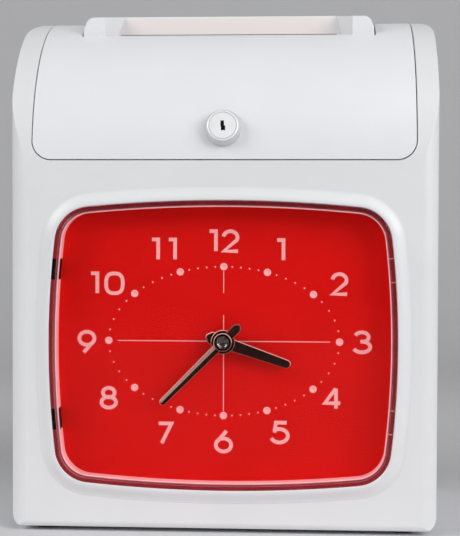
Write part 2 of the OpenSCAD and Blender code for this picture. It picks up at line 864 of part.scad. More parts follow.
// Frame round the dial, with a thin collar that reaches up into the lens
module dial_frame() {
    color("maroon") difference() {
        union() {
            lens_plate(inner_front, dial_y, dial_margin);
            lens_plate(inner_front - collar_h, inner_front + over, -lens_wall - loose_fit);
        }
        lens_plate(inner_front - collar_h - over, dial_y + over, -dial_lip);
        lens_tabs(loose_fit);
        tab_windows();
    }
}
module tab_windows() {
    y0 = inner_front - collar_h - over;
    y1 = inner_front + tab_d + loose_fit;
    half = tab_l / 2 + loose_fit;
    x = lens_side_x(tab_z + tab_l / 2);
    z = lens_cap_z(tab_x + tab_l / 2);
    translate([0, 0, lens_z]) for (side = [0, 1], up = [0, 1]) mirror([side, 0, 0]) mirror([0, 0, up]) {
        box([x - dial_lip - over, y0, tab_z - half], [x - lens_wall, y1, tab_z + half]);
        box([tab_x - half / 2, y0, z - dial_lip - over], [tab_x + half / 2, y1, z - lens_wall]);
    }
}
module dial_plate() {
    color("firebrick") difference() {
        union() {
            lens_plate(dial_y, dial_back, dial_margin);
            for (side = [-1, 1], up = [-1, 1]) {
                x = side * dial_boss_x;
                z = lens_z + up * dial_boss_z;
                rod_y(dial_y, dial_back, x, z, dial_boss_r + 1);
                translate([x, dial_y, z]) rotate([0, (side > 0 ? 180 : 0) - side * up * 45, 0])
                    translate([0, 0, -dial_boss_r]) cube([12, dial_t, 2 * dial_boss_r]);
            }
        }
        rod_y(dial_y - over, dial_back + over, 0, dial_z, bush_r + run_fit);
        dial_screw_places() translate([0, -2 * dial_t, 0]) rotate([-90, 0, 0])
            cylinder(h = 4 * dial_t, r = screw_r + 2 * run_fit);
    }
}

// Places round the dial: evenly spaced rays, stretched sideways, met with the marker ellipse
function marker_place(hour) = let (
    ray = [marker_stretch * sin(30 * hour), cos(30 * hour)],
    reach = 1 / norm([ray[0] / marker_a, ray[1] / marker_b])
) reach * ray;
module hour_markers() {
    color("pink") for (hour = [1:12]) let (place = marker_place(hour))
        rod_y(dial_y - marker_t, dial_y, place[0], dial_z + place[1], marker_r);
}

// A tapered hand pointing at 12, turned to its angle
module hand(angle, front, length, tail, widths, hub_r, bore_r) {
    root_w = widths[0];
    tip_w = widths[1];
    translate([0, 0, dial_z]) rotate([0, angle, 0]) difference() {
        extrude_y(front, front + hand_t) union() {
            circle(hub_r);
            polygon([[-root_w / 2, -tail], [root_w / 2, -tail], [root_w / 2, 0],
                     [tip_w / 2, length - tip_w / 2], [-tip_w / 2, length - tip_w / 2], [-root_w / 2, 0]]);
            translate([0, length - tip_w / 2]) circle(tip_w / 2);
        }
        rod_y(front - over, front + hand_t + over, 0, 0, bore_r);
    }
}
module hour_hand() {
    color("dimgray")
        hand(hour_angle, hour_hand_front, hour_l, hour_tail, hour_hand_w, hour_hub_r, hour_tube_r);
}
module minute_hand() {
    color("dimgray")
        hand(minute_angle, minute_hand_front, minute_l, minute_tail, minute_hand_w, minute_hub_r, arbor_r);
}
module hand_cap() {
    dome_r = (cap_r * cap_r + cap_h * cap_h) / (2 * cap_h);
    color("silver") translate([0, minute_hand_front, dial_z]) rotate([90, 0, 0]) intersection() {
        translate([0, 0, cap_h - dome_r]) sphere(dome_r);
        cylinder(h = 2 * cap_h, r = 2 * cap_r);
    }
}

module movement_case() {
    half = movement_half;
    inner = half - movement_wall;
    color("white") translate([0, 0, dial_z]) difference() {
        union() {
            difference() {
                box([-half, dial_back, -half], [half, movement_back, half]);
                box([-inner, movement_inner, -inner], [inner, movement_back + over, inner]);
            }
            rod_y(dial_y - nut_t - 0.5, dial_back + over, 0, 0, bush_r);
            rod_y(movement_inner - over, minute_wheel_y + wheel_t + 0.5, -motion_distance, 0, stud_r);
        }
        rod_y(dial_y - 2 * nut_t, movement_inner + over, 0, 0, hour_tube_r + run_fit);
    }
}
module movement_cover() {
    half = movement_half;
    color("white") translate([0, 0, dial_z]) difference() {
        box([-half, movement_back, -half], [half, movement_back + movement_cover_t, half]);
        rod_y(movement_back - over, movement_back + movement_cover_t + over, 0, 0, arbor_r + run_fit);
    }
}
module movement_nut() {
    color("goldenrod") translate([0, dial_y, dial_z]) rotate([90, 0, 0]) difference() {
        cylinder(h = nut_t, r = bush_r + 1.4, $fn = 6);
        translate([0, 0, -over]) cylinder(h = nut_t + 2 * over, r = bush_r);
    }
}
module minute_arbor() {
    pinion_extra = 0.4;
    color("silver") translate([0, 0, dial_z]) {
        rod_y(minute_hand_front, movement_back + movement_cover_t, 0, 0, arbor_r);
        extrude_y(minute_wheel_y - pinion_extra, minute_wheel_y + wheel_t + pinion_extra)
            gear(motion_teeth[0], motion_module, 180);
        extrude_y(centre_wheel_y, centre_wheel_y + wheel_t) gear(drive_teeth[1], drive_module, 90);
    }
}
module hour_wheel() {
    color("goldenrod") translate([0, 0, dial_z]) difference() {
        union() {
            rod_y(hour_hand_front, hour_wheel_y + wheel_t, 0, 0, hour_tube_r);
            extrude_y(hour_wheel_y, hour_wheel_y + wheel_t) gear(motion_teeth[3], hour_module, 180);
        }
        rod_y(hour_hand_front - over, hour_wheel_y + wheel_t + over, 0, 0, arbor_r + run_fit);
    }
}
module minute_wheel() {
    color("goldenrod") translate([-motion_distance, 0, dial_z]) difference() {
        union() {
            extrude_y(hour_wheel_y, minute_wheel_y + 0.2)
                gear(motion_teeth[2], hour_module, 180 / motion_teeth[2]);
            extrude_y(minute_wheel_y, minute_wheel_y + wheel_t)
                gear(motion_teeth[1], motion_module, 180 / motion_teeth[1]);
        }
        rod_y(hour_wheel_y - over, minute_wheel_y + wheel_t + over, 0, 0, stud_r + run_fit);
    }
}
module movement_motor() {
    body_r = 7;
    body_l = 5.4;
    color("silver") translate([0, 0, dial_z + drive_distance]) difference() {
        rod_y(movement_back - body_l, movement_back, 0, 0, body_r);
        rod_y(movement_back - body_l - over, movement_back - over, 0, 0, motor_shaft_r + run_fit);
    }
}
module drive_pinion() {
    color("goldenrod") translate([0, 0, dial_z + drive_distance]) {
        extrude_y(centre_wheel_y - 0.5, centre_wheel_y + wheel_t + 0.5)
            gear(drive_teeth[0], drive_module, 270 + 180 / drive_teeth[0]);
        rod_y(centre_wheel_y, movement_back - over - loose_fit, 0, 0, motor_shaft_r);
    }
}

// Side plate of the printer, on the right; its foot turns outwards
module side_plate() {
    upper_front = rod_y - 12;
    upper_rear = feed_motor_y + feed_motor_r + 2;
    shoulder_z = feed_z - 20;
    difference() {
        union() {
            extrude_x(plate_in, plate_out) polygon([
                [frame_front, frame_foot_z], [frame_rear, frame_foot_z], [frame_rear, shoulder_z - 10],
                [upper_rear, shoulder_z], [upper_rear, feed_z + 20], [throat_back, feed_z + 32],
                [throat_back, throat_base], [throat_front - 1, throat_base],
                [throat_front - 1, cassette_high], [cassette_front, cassette_high - 2],
                [upper_front, print_z + 5], [upper_front, belt_z - 14],
                [frame_front, belt_z - 26]]);
            box([plate_in, frame_front, frame_foot_z],
                [plate_in + frame_foot_w, frame_rear, frame_foot_z + plate_t]);
        }
        rod_x(plate_in - over, plate_out + over, feed_y, feed_z, feed_shaft_r + bush_wall);
        rod_x(plate_in - over, plate_out + over, pinch_y, feed_z, pinch_shaft_r + run_fit);
        rod_x(plate_in - over, plate_out + over, rod_y, rod_z, rod_r);
        rod_x(plate_in - over, plate_out + over, rod_y, upper_rod_z, upper_rod_r);
        frame_screw_places() translate([0, 0, -2 * plate_t])
            cylinder(h = 4 * plate_t, r = screw_r + 2 * run_fit);
    }
}
module frame_left() {
    color("lightsteelblue") mirror([1, 0, 0]) side_plate();
}
module frame_right() {
    color("lightsteelblue") difference() {
        side_plate();
        rod_x(plate_in - over, plate_out + over, feed_motor_y, feed_z, 4);
    }
}
module tie_bars() {
    bar_t = 3;
    bar_h = 8;
    color("lightsteelblue") for (z = [chute_bottom + 8, chute_bottom + 40, throat_base - bar_h - 6])
        box([-plate_in, chute_back, z], [plate_in, chute_back + bar_t, z + bar_h]);
}

// Flat tube that the card slides down, with windows for the rollers and the print line
module card_chute() {
    outer = chute_half + chute_wall;
    stop_t = 2;
    window_half = print_window / 2;
    roller_half = roller_w / 2 + 0.6;
    color("darkslategray") difference() {
        box([-outer, chute_front, chute_bottom - stop_t], [outer, chute_back, throat_base]);
        box([-chute_half, channel_front, chute_bottom], [chute_half, channel_back, throat_base + over]);
        box([-window_half[0], chute_front - over, print_z - window_half[1]],
            [window_half[0], chute_back + over, print_z + window_half[1]]);
        for (side = [-1, 1]) box([side * roller_x - roller_half, chute_front - over, feed_z - feed_r - 1],
                                 [side * roller_x + roller_half, chute_back + over, feed_z + feed_r + 1]);
    }
}
module platen() {
    gap = 0.2;
    high = print_window[1] / 2;
    color("black") {
        box([gap - print_window[0] / 2, channel_back, print_z - high + gap],
            [print_window[0] / 2 - gap, chute_back + over, print_z + high - gap]);
        box([-chute_half, chute_back, print_z - high - 3],
            [chute_half, chute_back + 2, print_z + high + 3]);
    }
}

module feed_bushings() {
    color("goldenrod") both_sides() difference() {
        union() {
            rod_x(plate_in, plate_out, feed_y, feed_z, feed_shaft_r + bush_wall);
            rod_x(plate_out, plate_out + bush_flange, feed_y, feed_z, feed_shaft_r + 2 * bush_wall);
        }
        rod_x(plate_in - over, plate_out + 2 * over, feed_y, feed_z, feed_shaft_r + run_fit);
    }
}
module feed_shaft() {
    color("silver") rod_x(-plate_out - bush_flange - 1, gear_x + gear_w + 1, feed_y, feed_z, feed_shaft_r);
}
module feed_rollers() {
    color("dimgray") for (side = [-1, 1]) difference() {
        rod_x(side * roller_x - roller_w / 2, side * roller_x + roller_w / 2, feed_y, feed_z, feed_r);
        rod_x(side * roller_x - roller_w, side * roller_x + roller_w, feed_y, feed_z, feed_shaft_r);
    }
}
module feed_gear() {
    color("ivory") difference() {
        translate([0, feed_y, feed_z]) extrude_x(gear_x, gear_x + gear_w)
            gear(feed_teeth[1], feed_module, 0);
        rod_x(gear_x - over, gear_x + gear_w + over, feed_y, feed_z, feed_shaft_r);
    }
}
module feed_motor() {
    body_l = 24;
    color("silver") difference() {
        rod_x(plate_in - body_l, plate_in, feed_motor_y, feed_z, feed_motor_r);
        rod_x(plate_in - body_l / 2, plate_in + over, feed_motor_y, feed_z, feed_shaft_r / 2 + run_fit);
    }
}
module feed_pinion() {
    shaft_in = 10;
    color("ivory") {
        translate([0, feed_motor_y, feed_z]) extrude_x(gear_x, gear_x + gear_w)
            gear(feed_teeth[0], feed_module, 180 + 180 / feed_teeth[0]);
        rod_x(plate_in - shaft_in, gear_x + gear_w, feed_motor_y, feed_z, feed_shaft_r / 2);
    }
}
module pinch_shaft() {
    color("silver") rod_x(-plate_out - 1, plate_out + 1, pinch_y, feed_z, pinch_shaft_r);
}
module pinch_rollers() {
    color("dimgray") for (side = [-1, 1]) difference() {
        rod_x(side * roller_x - roller_w / 2, side * roller_x + roller_w / 2, pinch_y, feed_z, pinch_r);
        rod_x(side * roller_x - roller_w, side * roller_x + roller_w, pinch_y, feed_z, pinch_shaft_r);
    }
}

// Plate between the side plates that carries the carriage motor and the belt idler
module cross_plate() {
    high = pulley_r + 4;
    color("lightsteelblue") {
        difference() {
            box([-plate_in, cross_back - cross_t, belt_z - high],
                [plate_in, cross_back, belt_z + high - 1]);
            rod_y(cross_back - cross_t - over, cross_back + over, -belt_x, belt_z, 3);
        }
        rod_y(cross_back - over, belt_y + belt_w + 1.5, belt_x, belt_z, belt_stud_r);
    }
}
module carriage_motor() {
    motor_back = cross_back - cross_t;
    color("silver") difference() {
        rod_y(motor_back - carriage_motor_l, motor_back, -belt_x, belt_z, carriage_motor_r);
        rod_y(motor_back - carriage_motor_l / 2, cross_back, -belt_x, belt_z, belt_stud_r + run_fit);
    }
}
// A flanged pulley round the given point, on the belt line
module pulley(x) {
    flange_t = 0.6;
    side_gap = 0.2;
    rod_y(belt_y - side_gap, belt_y + belt_w + side_gap, x, belt_z, pulley_r);
    for (y = [belt_y - side_gap - flange_t, belt_y + belt_w + side_gap])
        rod_y(y, y + flange_t, x, belt_z, pulley_r + belt_t + 0.8);
}
module drive_pulley() {
    shaft_in = 5;
    color("goldenrod") {
        pulley(-belt_x);
        rod_y(cross_back - cross_t - shaft_in, belt_y, -belt_x, belt_z, belt_stud_r);
    }
}
module idler_pulley() {
    color("goldenrod") difference() {
        pulley(belt_x);
        rod_y(belt_y - 2 * over, belt_y + belt_w + 2 * over, belt_x, belt_z, belt_stud_r + run_fit);
    }
}
module drive_belt() {
    inner = pulley_r + run_fit;
    outer = inner + belt_t;
    module loop(r) {
        for (side = [-1, 1]) translate([side * belt_x, belt_z]) circle(r);
        translate([-belt_x, belt_z - r]) square([2 * belt_x, 2 * r]);
    }
    color("black") extrude_y(belt_y, belt_y + belt_w) difference() {
        loop(outer);
        loop(inner);
    }
}
module guide_rods() {
    color("silver") {
        rod_x(-plate_out, plate_out, rod_y, rod_z, rod_r);
        rod_x(-plate_out, plate_out, rod_y, upper_rod_z, upper_rod_r);
    }
}
module carriage() {
    tongue_half = 5;
    tongue_gap = 0.2;
    color("dimgray") difference() {
        union() {
            box([-carriage_half, carriage_front, carriage_low],
                [carriage_half, carriage_back, carriage_high]);
            box([-tongue_half, belt_y, belt_z + pulley_r + run_fit + belt_t + tongue_gap],
                [tongue_half, belt_y + belt_w, carriage_low + over]);
        }
        rod_x(-carriage_half - over, carriage_half + over, rod_y, rod_z, rod_r + run_fit);
        rod_x(-carriage_half - over, carriage_half + over, rod_y, upper_rod_z, upper_rod_r + run_fit);
        box([-nose_half, carriage_front - over, print_z - nose_half],
            [nose_half, carriage_back + over, print_z + nose_half]);
    }
}
module print_head() {
    fin_count = 3;
    fin_pitch = 2;
    color("darkgray") {
        difference() {
            rod_y(head_front, carriage_front, 0, print_z, head_r);
            for (i = [0:fin_count - 1]) let (y = head_front + 1 + i * fin_pitch) difference() {
                rod_y(y, y + fin_pitch / 2, 0, print_z, head_r + over);
                rod_y(y - over, y + fin_pitch, 0, print_z, head_r - 3);
            }
        }
        box([-nose_half, carriage_front - over, print_z - nose_half],
            [nose_half, ribbon_y - 0.4, print_z + nose_half]);
    }
}
module ribbon_cassette() {
    color("black") difference() {
        union() {
            box([-plate_in, cassette_front, cassette_low], [plate_in, throat_front - 2, cassette_high]);
            both_sides() box([cassette_arm_x[0], throat_front - 6, print_z - 7],
                             [cassette_arm_x[1], ribbon_y, cassette_low + over]);
        }
        rod_z(cassette_high - 4, cassette_high + over, knob_x, knob_y, knob_pin_r + run_fit);
    }
}
module ink_ribbon() {
    half = print_window[1] / 2 - 1;
    reach = (cassette_arm_x[0] + cassette_arm_x[1]) / 2;
    color("navy") box([-reach, ribbon_y, print_z - half], [reach, ribbon_y + ribbon_t, print_z + half]);
}
module ribbon_knob() {
    lift = 0.2;
    groove_r = 0.5;
    color("dimgray") difference() {
        union() {
            rod_z(cassette_high + lift, cassette_high + knob_h, knob_x, knob_y, knob_r);
            rod_z(cassette_high - 3.5, cassette_high + 1, knob_x, knob_y, knob_pin_r);
        }
        for (turn = [0:30:330]) translate([knob_x, knob_y, cassette_high]) rotate(turn)
            rod_z(lift - over, knob_h + over, knob_r, 0, groove_r);
    }
}

// Shelf on the left side plate with the buttons and the display
module control_panel() {
    color("dimgray") difference() {
        union() {
            box([panel_left, panel_front, panel_z], [-plate_out, panel_back, panel_z + panel_t]);
            box([-plate_out - panel_t, panel_front, panel_z - 12],
                [-plate_out, panel_back - 8, panel_z + over]);
        }
        for (x = button_x)
            rod_z(panel_z - over, panel_z + panel_t + over, x, button_y, button_r + 2 * run_fit);
    }
}
module setting_display() {
    color("darkseagreen") box(
        [panel_left + 3, panel_front + 2, panel_z + panel_t],
        [-plate_out - 4, panel_front + 14, panel_z + panel_t + 2.5]);
}
module setting_button(i) {
    top = panel_z + panel_t + button_h;
    color("lightgray") {
        rod_z(panel_z - button_skirt - 0.1, top, button_x[i], button_y, button_r);
        rod_z(panel_z - button_skirt - 0.1, panel_z - 0.1, button_x[i], button_y, button_r + 0.8);
    }
}
module button_mode() {
    setting_button(0);
}
module button_up() {
    setting_button(1);
}
module button_down() {
    setting_button(2);
}

module main_board() {
    color("darkgreen") difference() {
        box([-board_half, board_front, board_z[0]], [board_half, board_back, board_z[1]]);
        board_screw_places() translate([0, -over, 0]) rotate([-90, 0, 0])
            cylinder(h = board_t + 2 * over, r = screw_r + 2 * run_fit);
    }
}
module board_parts() {
    chip = [22, 3, 22];
    chip_pitch = 40;
    chip_rise = 60;
    can_r = 5;
    can_l = 12;
    can_pitch = 14;
    can_rise = 30;
    plug = [20, 8, 6];
    plug_pitch = 24;
    plug_drop = 22;
    color("black") {
        for (i = [-1:1]) let (x = i * chip_pitch - chip[0] / 2)
            translate([x, board_front - chip[1], board_z[0] + chip_rise]) cube(chip);
        for (i = [-3:1]) rod_y(board_front - can_l, board_front, i * can_pitch, board_z[0] + can_rise, can_r);
        for (i = [1, 2])
            translate([i * plug_pitch, board_front - plug[1], board_z[1] - plug_drop]) cube(plug);
    }
}
module battery_pack() {
    color("royalblue") for (i = [-1:1])
        rod_x(-cell_l / 2, cell_l / 2, battery_y + i * cell_pitch, floor_z + cell_r, cell_r);
}
module dc_jack() {
    pin_r = 1;
    pin_l = 8;
    color("black") {
        difference() {
            union() {
                box([jack_x - jack_half, inner_back - jack_l, jack_z - jack_half],
                    [jack_x + jack_half, inner_back, jack_z + jack_half]);
                rod_y(inner_back - over, back_y, jack_x, jack_z, jack_bore_r + 1.5);
            }
            rod_y(inner_back - pin_l, back_y + over, jack_x, jack_z, jack_bore_r);
        }
        rod_y(inner_back - pin_l - over, back_y - over, jack_x, jack_z, pin_r);
    }
}

front_case();
rear_case();
top_cover();
hinge_pins();
card_throat();
rubber_feet();
screws();
lock_body();
lock_nut();
lock_plug();
lock_cam();
dial_lens();
dial_frame();
dial_plate();
hour_markers();
hour_hand();
minute_hand();
hand_cap();
movement_case();
movement_cover();
movement_nut();
minute_arbor();
hour_wheel();
minute_wheel();
movement_motor();
drive_pinion();
frame_left();
frame_right();
tie_bars();
card_chute();
platen();
feed_bushings();
feed_shaft();
feed_rollers();
feed_gear();
feed_motor();
feed_pinion();
pinch_shaft();
pinch_rollers();
cross_plate();
carriage_motor();
drive_pulley();
idler_pulley();
drive_belt();
guide_rods();
carriage();
print_head();
ribbon_cassette();
ink_ribbon();
ribbon_knob();
control_panel();
setting_display();
button_mode();
button_up();
button_down();
main_board();
board_parts();
battery_pack();
dc_jack();
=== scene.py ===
import json
from math import atan2, cos, hypot, pi, radians, sin, sqrt

import bmesh
import bpy
from mathutils import Matrix, Vector


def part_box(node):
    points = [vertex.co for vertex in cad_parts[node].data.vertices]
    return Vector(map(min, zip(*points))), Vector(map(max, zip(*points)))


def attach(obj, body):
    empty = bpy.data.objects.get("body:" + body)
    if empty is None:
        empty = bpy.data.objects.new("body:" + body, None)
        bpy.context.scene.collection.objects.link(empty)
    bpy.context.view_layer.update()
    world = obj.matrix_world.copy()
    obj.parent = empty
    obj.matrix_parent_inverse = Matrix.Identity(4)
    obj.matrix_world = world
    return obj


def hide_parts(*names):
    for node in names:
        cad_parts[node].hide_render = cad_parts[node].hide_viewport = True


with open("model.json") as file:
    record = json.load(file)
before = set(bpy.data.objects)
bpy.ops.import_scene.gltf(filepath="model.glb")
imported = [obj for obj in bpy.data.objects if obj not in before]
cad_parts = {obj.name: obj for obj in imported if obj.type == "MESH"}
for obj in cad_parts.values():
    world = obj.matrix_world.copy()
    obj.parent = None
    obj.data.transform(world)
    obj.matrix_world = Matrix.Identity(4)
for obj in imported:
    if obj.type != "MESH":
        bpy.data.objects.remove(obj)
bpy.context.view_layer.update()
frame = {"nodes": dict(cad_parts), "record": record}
nodes = frame["nodes"]
record = frame["record"]

# Lengths below are in millimetres unless a comment says otherwise
MM = 0.001


def node_box(name):
    """Lowest and highest corner of a solid, in millimetres."""
    low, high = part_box(name)
    return low / MM, high / MM


# Sizes of the dial and the lens, taken from the solids
lens_low, lens_high = node_box("dial_lens")
LENS_W = lens_high.x - lens_low.x
LENS_H = lens_high.z - lens_low.z
LENS_Z = (lens_high.z + lens_low.z) / 2
LENS_FRONT = lens_low.y
LENS_WALL = 2.0
LENS_RISE = 5.0
LENS_SEAT = 2.5
LENS_BOW_X = 5.5
LENS_BOW_Z = 5.2
LENS_CORNER_R = 17.0
frame_low, frame_high = node_box("dial_frame")
DIAL_Y = frame_high.y
FRONT_Y = LENS_FRONT + LENS_RISE
LENS_BACK = FRONT_Y + LENS_SEAT
marker_low, marker_high = node_box("hour_markers")
MARKER_R = 1.8
MARKER_A = (marker_high.x - marker_low.x) / 2 - MARKER_R
MARKER_B = (marker_high.z - marker_low.z) / 2 - MARKER_R
# The rays on which the markers lie are spread sideways by this factor
MARKER_STRETCH = 1.093
DIAL_Z = (marker_high.z + marker_low.z) / 2


def srgb(red, green, blue):
    """Linear colour, with alpha, of an 8-bit screen colour."""
    def linear(value):
        share = value / 255
        return share / 12.92 if share <= 0.04045 else ((share + 0.055) / 1.055) ** 2.4
    return (linear(red), linear(green), linear(blue), 1.0)


# Materials
class Finish:
    """A procedural material: a Principled shader and the patterns that feed it."""

    def __init__(self, name, sockets):
        self.material = bpy.data.materials.new(name)
        self.material.use_nodes = True
        self.tree = self.material.node_tree
        self.shader = self.tree.nodes["Principled BSDF"]
        self.place = self.add("TexCoord").outputs["Object"]
        self.normal = None
        for socket, value in sockets.items():
            self.shader.inputs[socket].default_value = value

    def add(self, kind):
        return self.tree.nodes.new("ShaderNode" + kind)

    def link(self, output, target):
        self.tree.links.new(output, target)

    def stretched(self, scale):
        """Coordinates in metres, scaled along each axis."""
        mapping = self.add("Mapping")
        mapping.inputs["Scale"].default_value = scale
        self.link(self.place, mapping.inputs["Vector"])
        return mapping.outputs["Vector"]

    def noise(self, size, detail=2.0, stretch=(1.0, 1.0, 1.0)):
        """Cloudy pattern whose features are about size millimetres across."""
        texture = self.add("TexNoise")
        texture.inputs["Scale"].default_value = 1 / (size * MM)
        texture.inputs["Detail"].default_value = detail
        self.link(self.stretched(stretch), texture.inputs["Vector"])
        return texture.outputs["Fac"]

    def cells(self, size, stretch=(1.0, 1.0, 1.0)):
        """Distance to the edges of random cells that are about size millimetres across."""
        texture = self.add("TexVoronoi")
        texture.feature = "DISTANCE_TO_EDGE"
        texture.inputs["Scale"].default_value = 1 / (size * MM)
        self.link(self.stretched(stretch), texture.inputs["Vector"])
        return texture.outputs["Distance"]

    def bands(self, size, axis):
        """Stripes across one axis, size millimetres from stripe to stripe."""
        stripe_at_scale_1 = pi / 10
        texture = self.add("TexWave")
        texture.bands_direction = axis
        texture.inputs["Scale"].default_value = stripe_at_scale_1 / (size * MM)
        self.link(self.place, texture.inputs["Vector"])
        return texture.outputs["Fac"]

    def spread(self, value, low, high, start=0.3, end=0.7):
        """A pattern that runs from start to end, mapped to a range."""
        node = self.add("MapRange")
        node.inputs["From Min"].default_value = start
        node.inputs["From Max"].default_value = end
        node.inputs["To Min"].default_value = low
        node.inputs["To Max"].default_value = high
        self.link(value, node.inputs["Value"])
        return node.outputs["Result"]

    def inside(self, low, high, soft):
        """1 inside a box given by two corners in millimetres, falling to 0 over its soft edges."""
        parts = self.add("SeparateXYZ")
        self.link(self.place, parts.inputs["Vector"])
        share = None
        for axis, start, end, blur in zip("XYZ", low, high, soft):
            for edge, way in ((start, blur), (end, -blur)):
                fall = self.spread(parts.outputs[axis], 0.0, 1.0, (edge - way) * MM, (edge + way) * MM)
                share = fall if share is None else self.combined("MULTIPLY", share, fall)
        return share

    def combined(self, operation, first, second):
        """Two outputs joined by a math operation."""
        node = self.add("Math")
        node.operation = operation
        self.link(first, node.inputs[0])
        self.link(second, node.inputs[1])
        return node.outputs["Value"]

    def rays(self, *kinds):
        """1 for rays of any of these kinds, such as Shadow or Diffuse, and 0 for others."""
        path = self.add("LightPath")
        chosen = None
        for kind in kinds:
            found = path.outputs[f"Is {kind} Ray"]
            chosen = found if chosen is None else self.combined("MAXIMUM", chosen, found)
        return chosen

    def mixed(self, value, first, second):
        """Colour that runs from first to second; each is a colour or another output."""
        node = self.add("Mix")
        node.data_type = "RGBA"
        factor, a, b = node.inputs[0], node.inputs[6], node.inputs[7]
        self.link(value, factor)
        for socket, colour in ((a, first), (b, second)):
            if isinstance(colour, tuple):
                socket.default_value = colour
            else:
                self.link(colour, socket)
        return node.outputs[2]

    def colour(self, output):
        self.link(output, self.shader.inputs["Base Color"])

    def roughness(self, output):
        self.link(output, self.shader.inputs["Roughness"])

    def rounding(self, radius):
        """Shade hard edges as if they were rounded to this radius."""
        bevel = self.add("Bevel")
        bevel.samples = 6
        bevel.inputs["Radius"].default_value = radius * MM
        self.normal = bevel.outputs["Normal"]

    def relief(self, height, depth, strength=1.0):
        """Raise the surface by up to depth millimetres with a pattern."""
        bump = self.add("Bump")
        bump.inputs["Distance"].default_value = depth * MM
        bump.inputs["Strength"].default_value = strength
        self.link(height, bump.inputs["Height"])
        if self.normal is not None:
            self.link(self.normal, bump.inputs["Normal"])
        self.normal = bump.outputs["Normal"]

    def done(self):
        if self.normal is not None:
            self.link(self.normal, self.shader.inputs["Normal"])
        return self.material


def moulded(name, light, dark, rough, grain, depth, edge=0.4, sockets=None, tint=None):
    """Moulded plastic: fine spark grain, faint flow clouds and slightly uneven gloss.

    tint gives the corners of a box, the softness of its edges and the colour inside it.
    """
    made = Finish(name, sockets or {})
    made.rounding(edge)
    clouds = made.noise(38.0, 3.0)
    tone = made.mixed(made.spread(clouds, 0.0, 1.0), light, dark)
    if tint:
        low, high, soft, shade = tint
        tone = made.mixed(made.inside(low, high, soft), tone, shade)
    made.colour(tone)
    made.roughness(made.spread(made.noise(9.0, 2.0), rough - 0.02, rough + 0.05, 0.1, 0.9))
    made.relief(made.noise(26.0, 1.0), 0.05)
    made.relief(made.noise(grain, 3.0), depth)
    return made.done()


def brushed(name, light, dark, rough, along, edge=0.15):
    """Metal with fine drawn lines along one axis and faint handling marks."""
    made = Finish(name, {"Metallic": 1.0})
    made.rounding(edge)
    stretch = tuple(0.03 if axis == along else 1.0 for axis in "XYZ")
    lines = made.noise(0.35, 4.0, stretch)
    clouds = made.noise(14.0, 3.0)
    tone = made.mixed(made.spread(clouds, 0.0, 1.0), light, dark)
    made.colour(made.mixed(made.spread(lines, 0.0, 0.35), tone, dark))
    made.roughness(made.spread(lines, rough - 0.07, rough + 0.1))
    made.relief(lines, 0.006)
    return made.done()


def polished(name, light, dark, rough, edge=0.2, metal=1.0):
    """Plated metal with a faint orange peel and fine rubbing marks; less metal gives a satin plating."""
    made = Finish(name, {"Metallic": metal})
    made.rounding(edge)
    smudge = made.noise(3.5, 4.0)
    made.colour(made.mixed(made.spread(smudge, 0.0, 1.0), light, dark))
    made.roughness(made.spread(made.noise(1.2, 5.0), rough - 0.03, rough + 0.07))
    made.relief(made.noise(1.6, 2.0), 0.008)
    return made.done()


def rubber():
    """Moulded rubber: dull, with fine pits and a dusty bloom."""
    made = Finish("rubber", {"Specular IOR Level": 0.3})
    made.rounding(0.3)
    bloom = made.noise(6.0, 5.0)
    made.colour(made.mixed(made.spread(bloom, 0.0, 1.0), srgb(42, 42, 44), srgb(64, 64, 66)))
    made.roughness(made.spread(bloom, 0.62, 0.85))
    made.relief(made.noise(0.5, 3.0), 0.04)
    return made.done()


def dial_red():
    """Screen-printed red: even ink with a faint weave of the screen and soft mottling."""
    made = Finish("dial_red", {"Specular IOR Level": 0.03})
    mottle = made.noise(22.0, 3.0)
    made.colour(made.mixed(made.spread(mottle, 0.0, 1.0), srgb(210, 16, 13), srgb(203, 15, 12)))
    made.roughness(made.spread(made.noise(4.0, 4.0), 0.5, 0.62))
    made.relief(made.noise(0.3, 2.0), 0.008)
    return made.done()


def trim(name, light, dark, rough, edge=0.15):
    """Moulded trim round the dial, with soft clouds and a fine grain."""
    made = Finish(name, {})
    made.rounding(edge)
    made.colour(made.mixed(made.spread(made.noise(8.0, 3.0), 0.0, 1.0), light, dark))
    made.roughness(made.spread(made.noise(2.0, 3.0), rough, rough + 0.12))
    made.relief(made.noise(0.8, 2.0), 0.01)
    return made.done()


def dial_print():
    """Pale raised print on the dial, with the soft unevenness of thick ink."""
    made = Finish("dial_print", {"Specular IOR Level": 0.35})
    made.rounding(0.12)
    ink = made.noise(1.4, 4.0)
    made.colour(made.mixed(made.spread(ink, 0.0, 1.0), srgb(250, 172, 171), srgb(243, 158, 158)))
    made.roughness(made.spread(ink, 0.42, 0.56))
    made.relief(made.noise(0.4, 3.0), 0.01)
    return made.done()


def clear_lens():
    """Clear moulded acrylic that lets the lamps through to the dial."""
    white = (1.0, 1.0, 1.0, 1.0)
    faint = (0.08, 0.08, 0.08, 1.0)
    made = Finish("clear_lens", {"IOR": 1.49, "Transmission Weight": 1.0, "Specular Tint": faint,
                                 "Base Color": white})
    made.roughness(made.spread(made.noise(12.0, 4.0), 0.0, 0.02))
    made.relief(made.noise(55.0, 1.0), 0.03)
    material = made.done()
    output = made.tree.nodes["Material Output"]
    through = made.add("BsdfTransparent")
    chosen = made.add("MixShader")
    made.link(made.rays("Shadow", "Diffuse"), chosen.inputs["Fac"])
    made.link(made.shader.outputs["BSDF"], chosen.inputs[1])
    made.link(through.outputs["BSDF"], chosen.inputs[2])
    made.link(chosen.outputs["Shader"], output.inputs["Surface"])
    return material


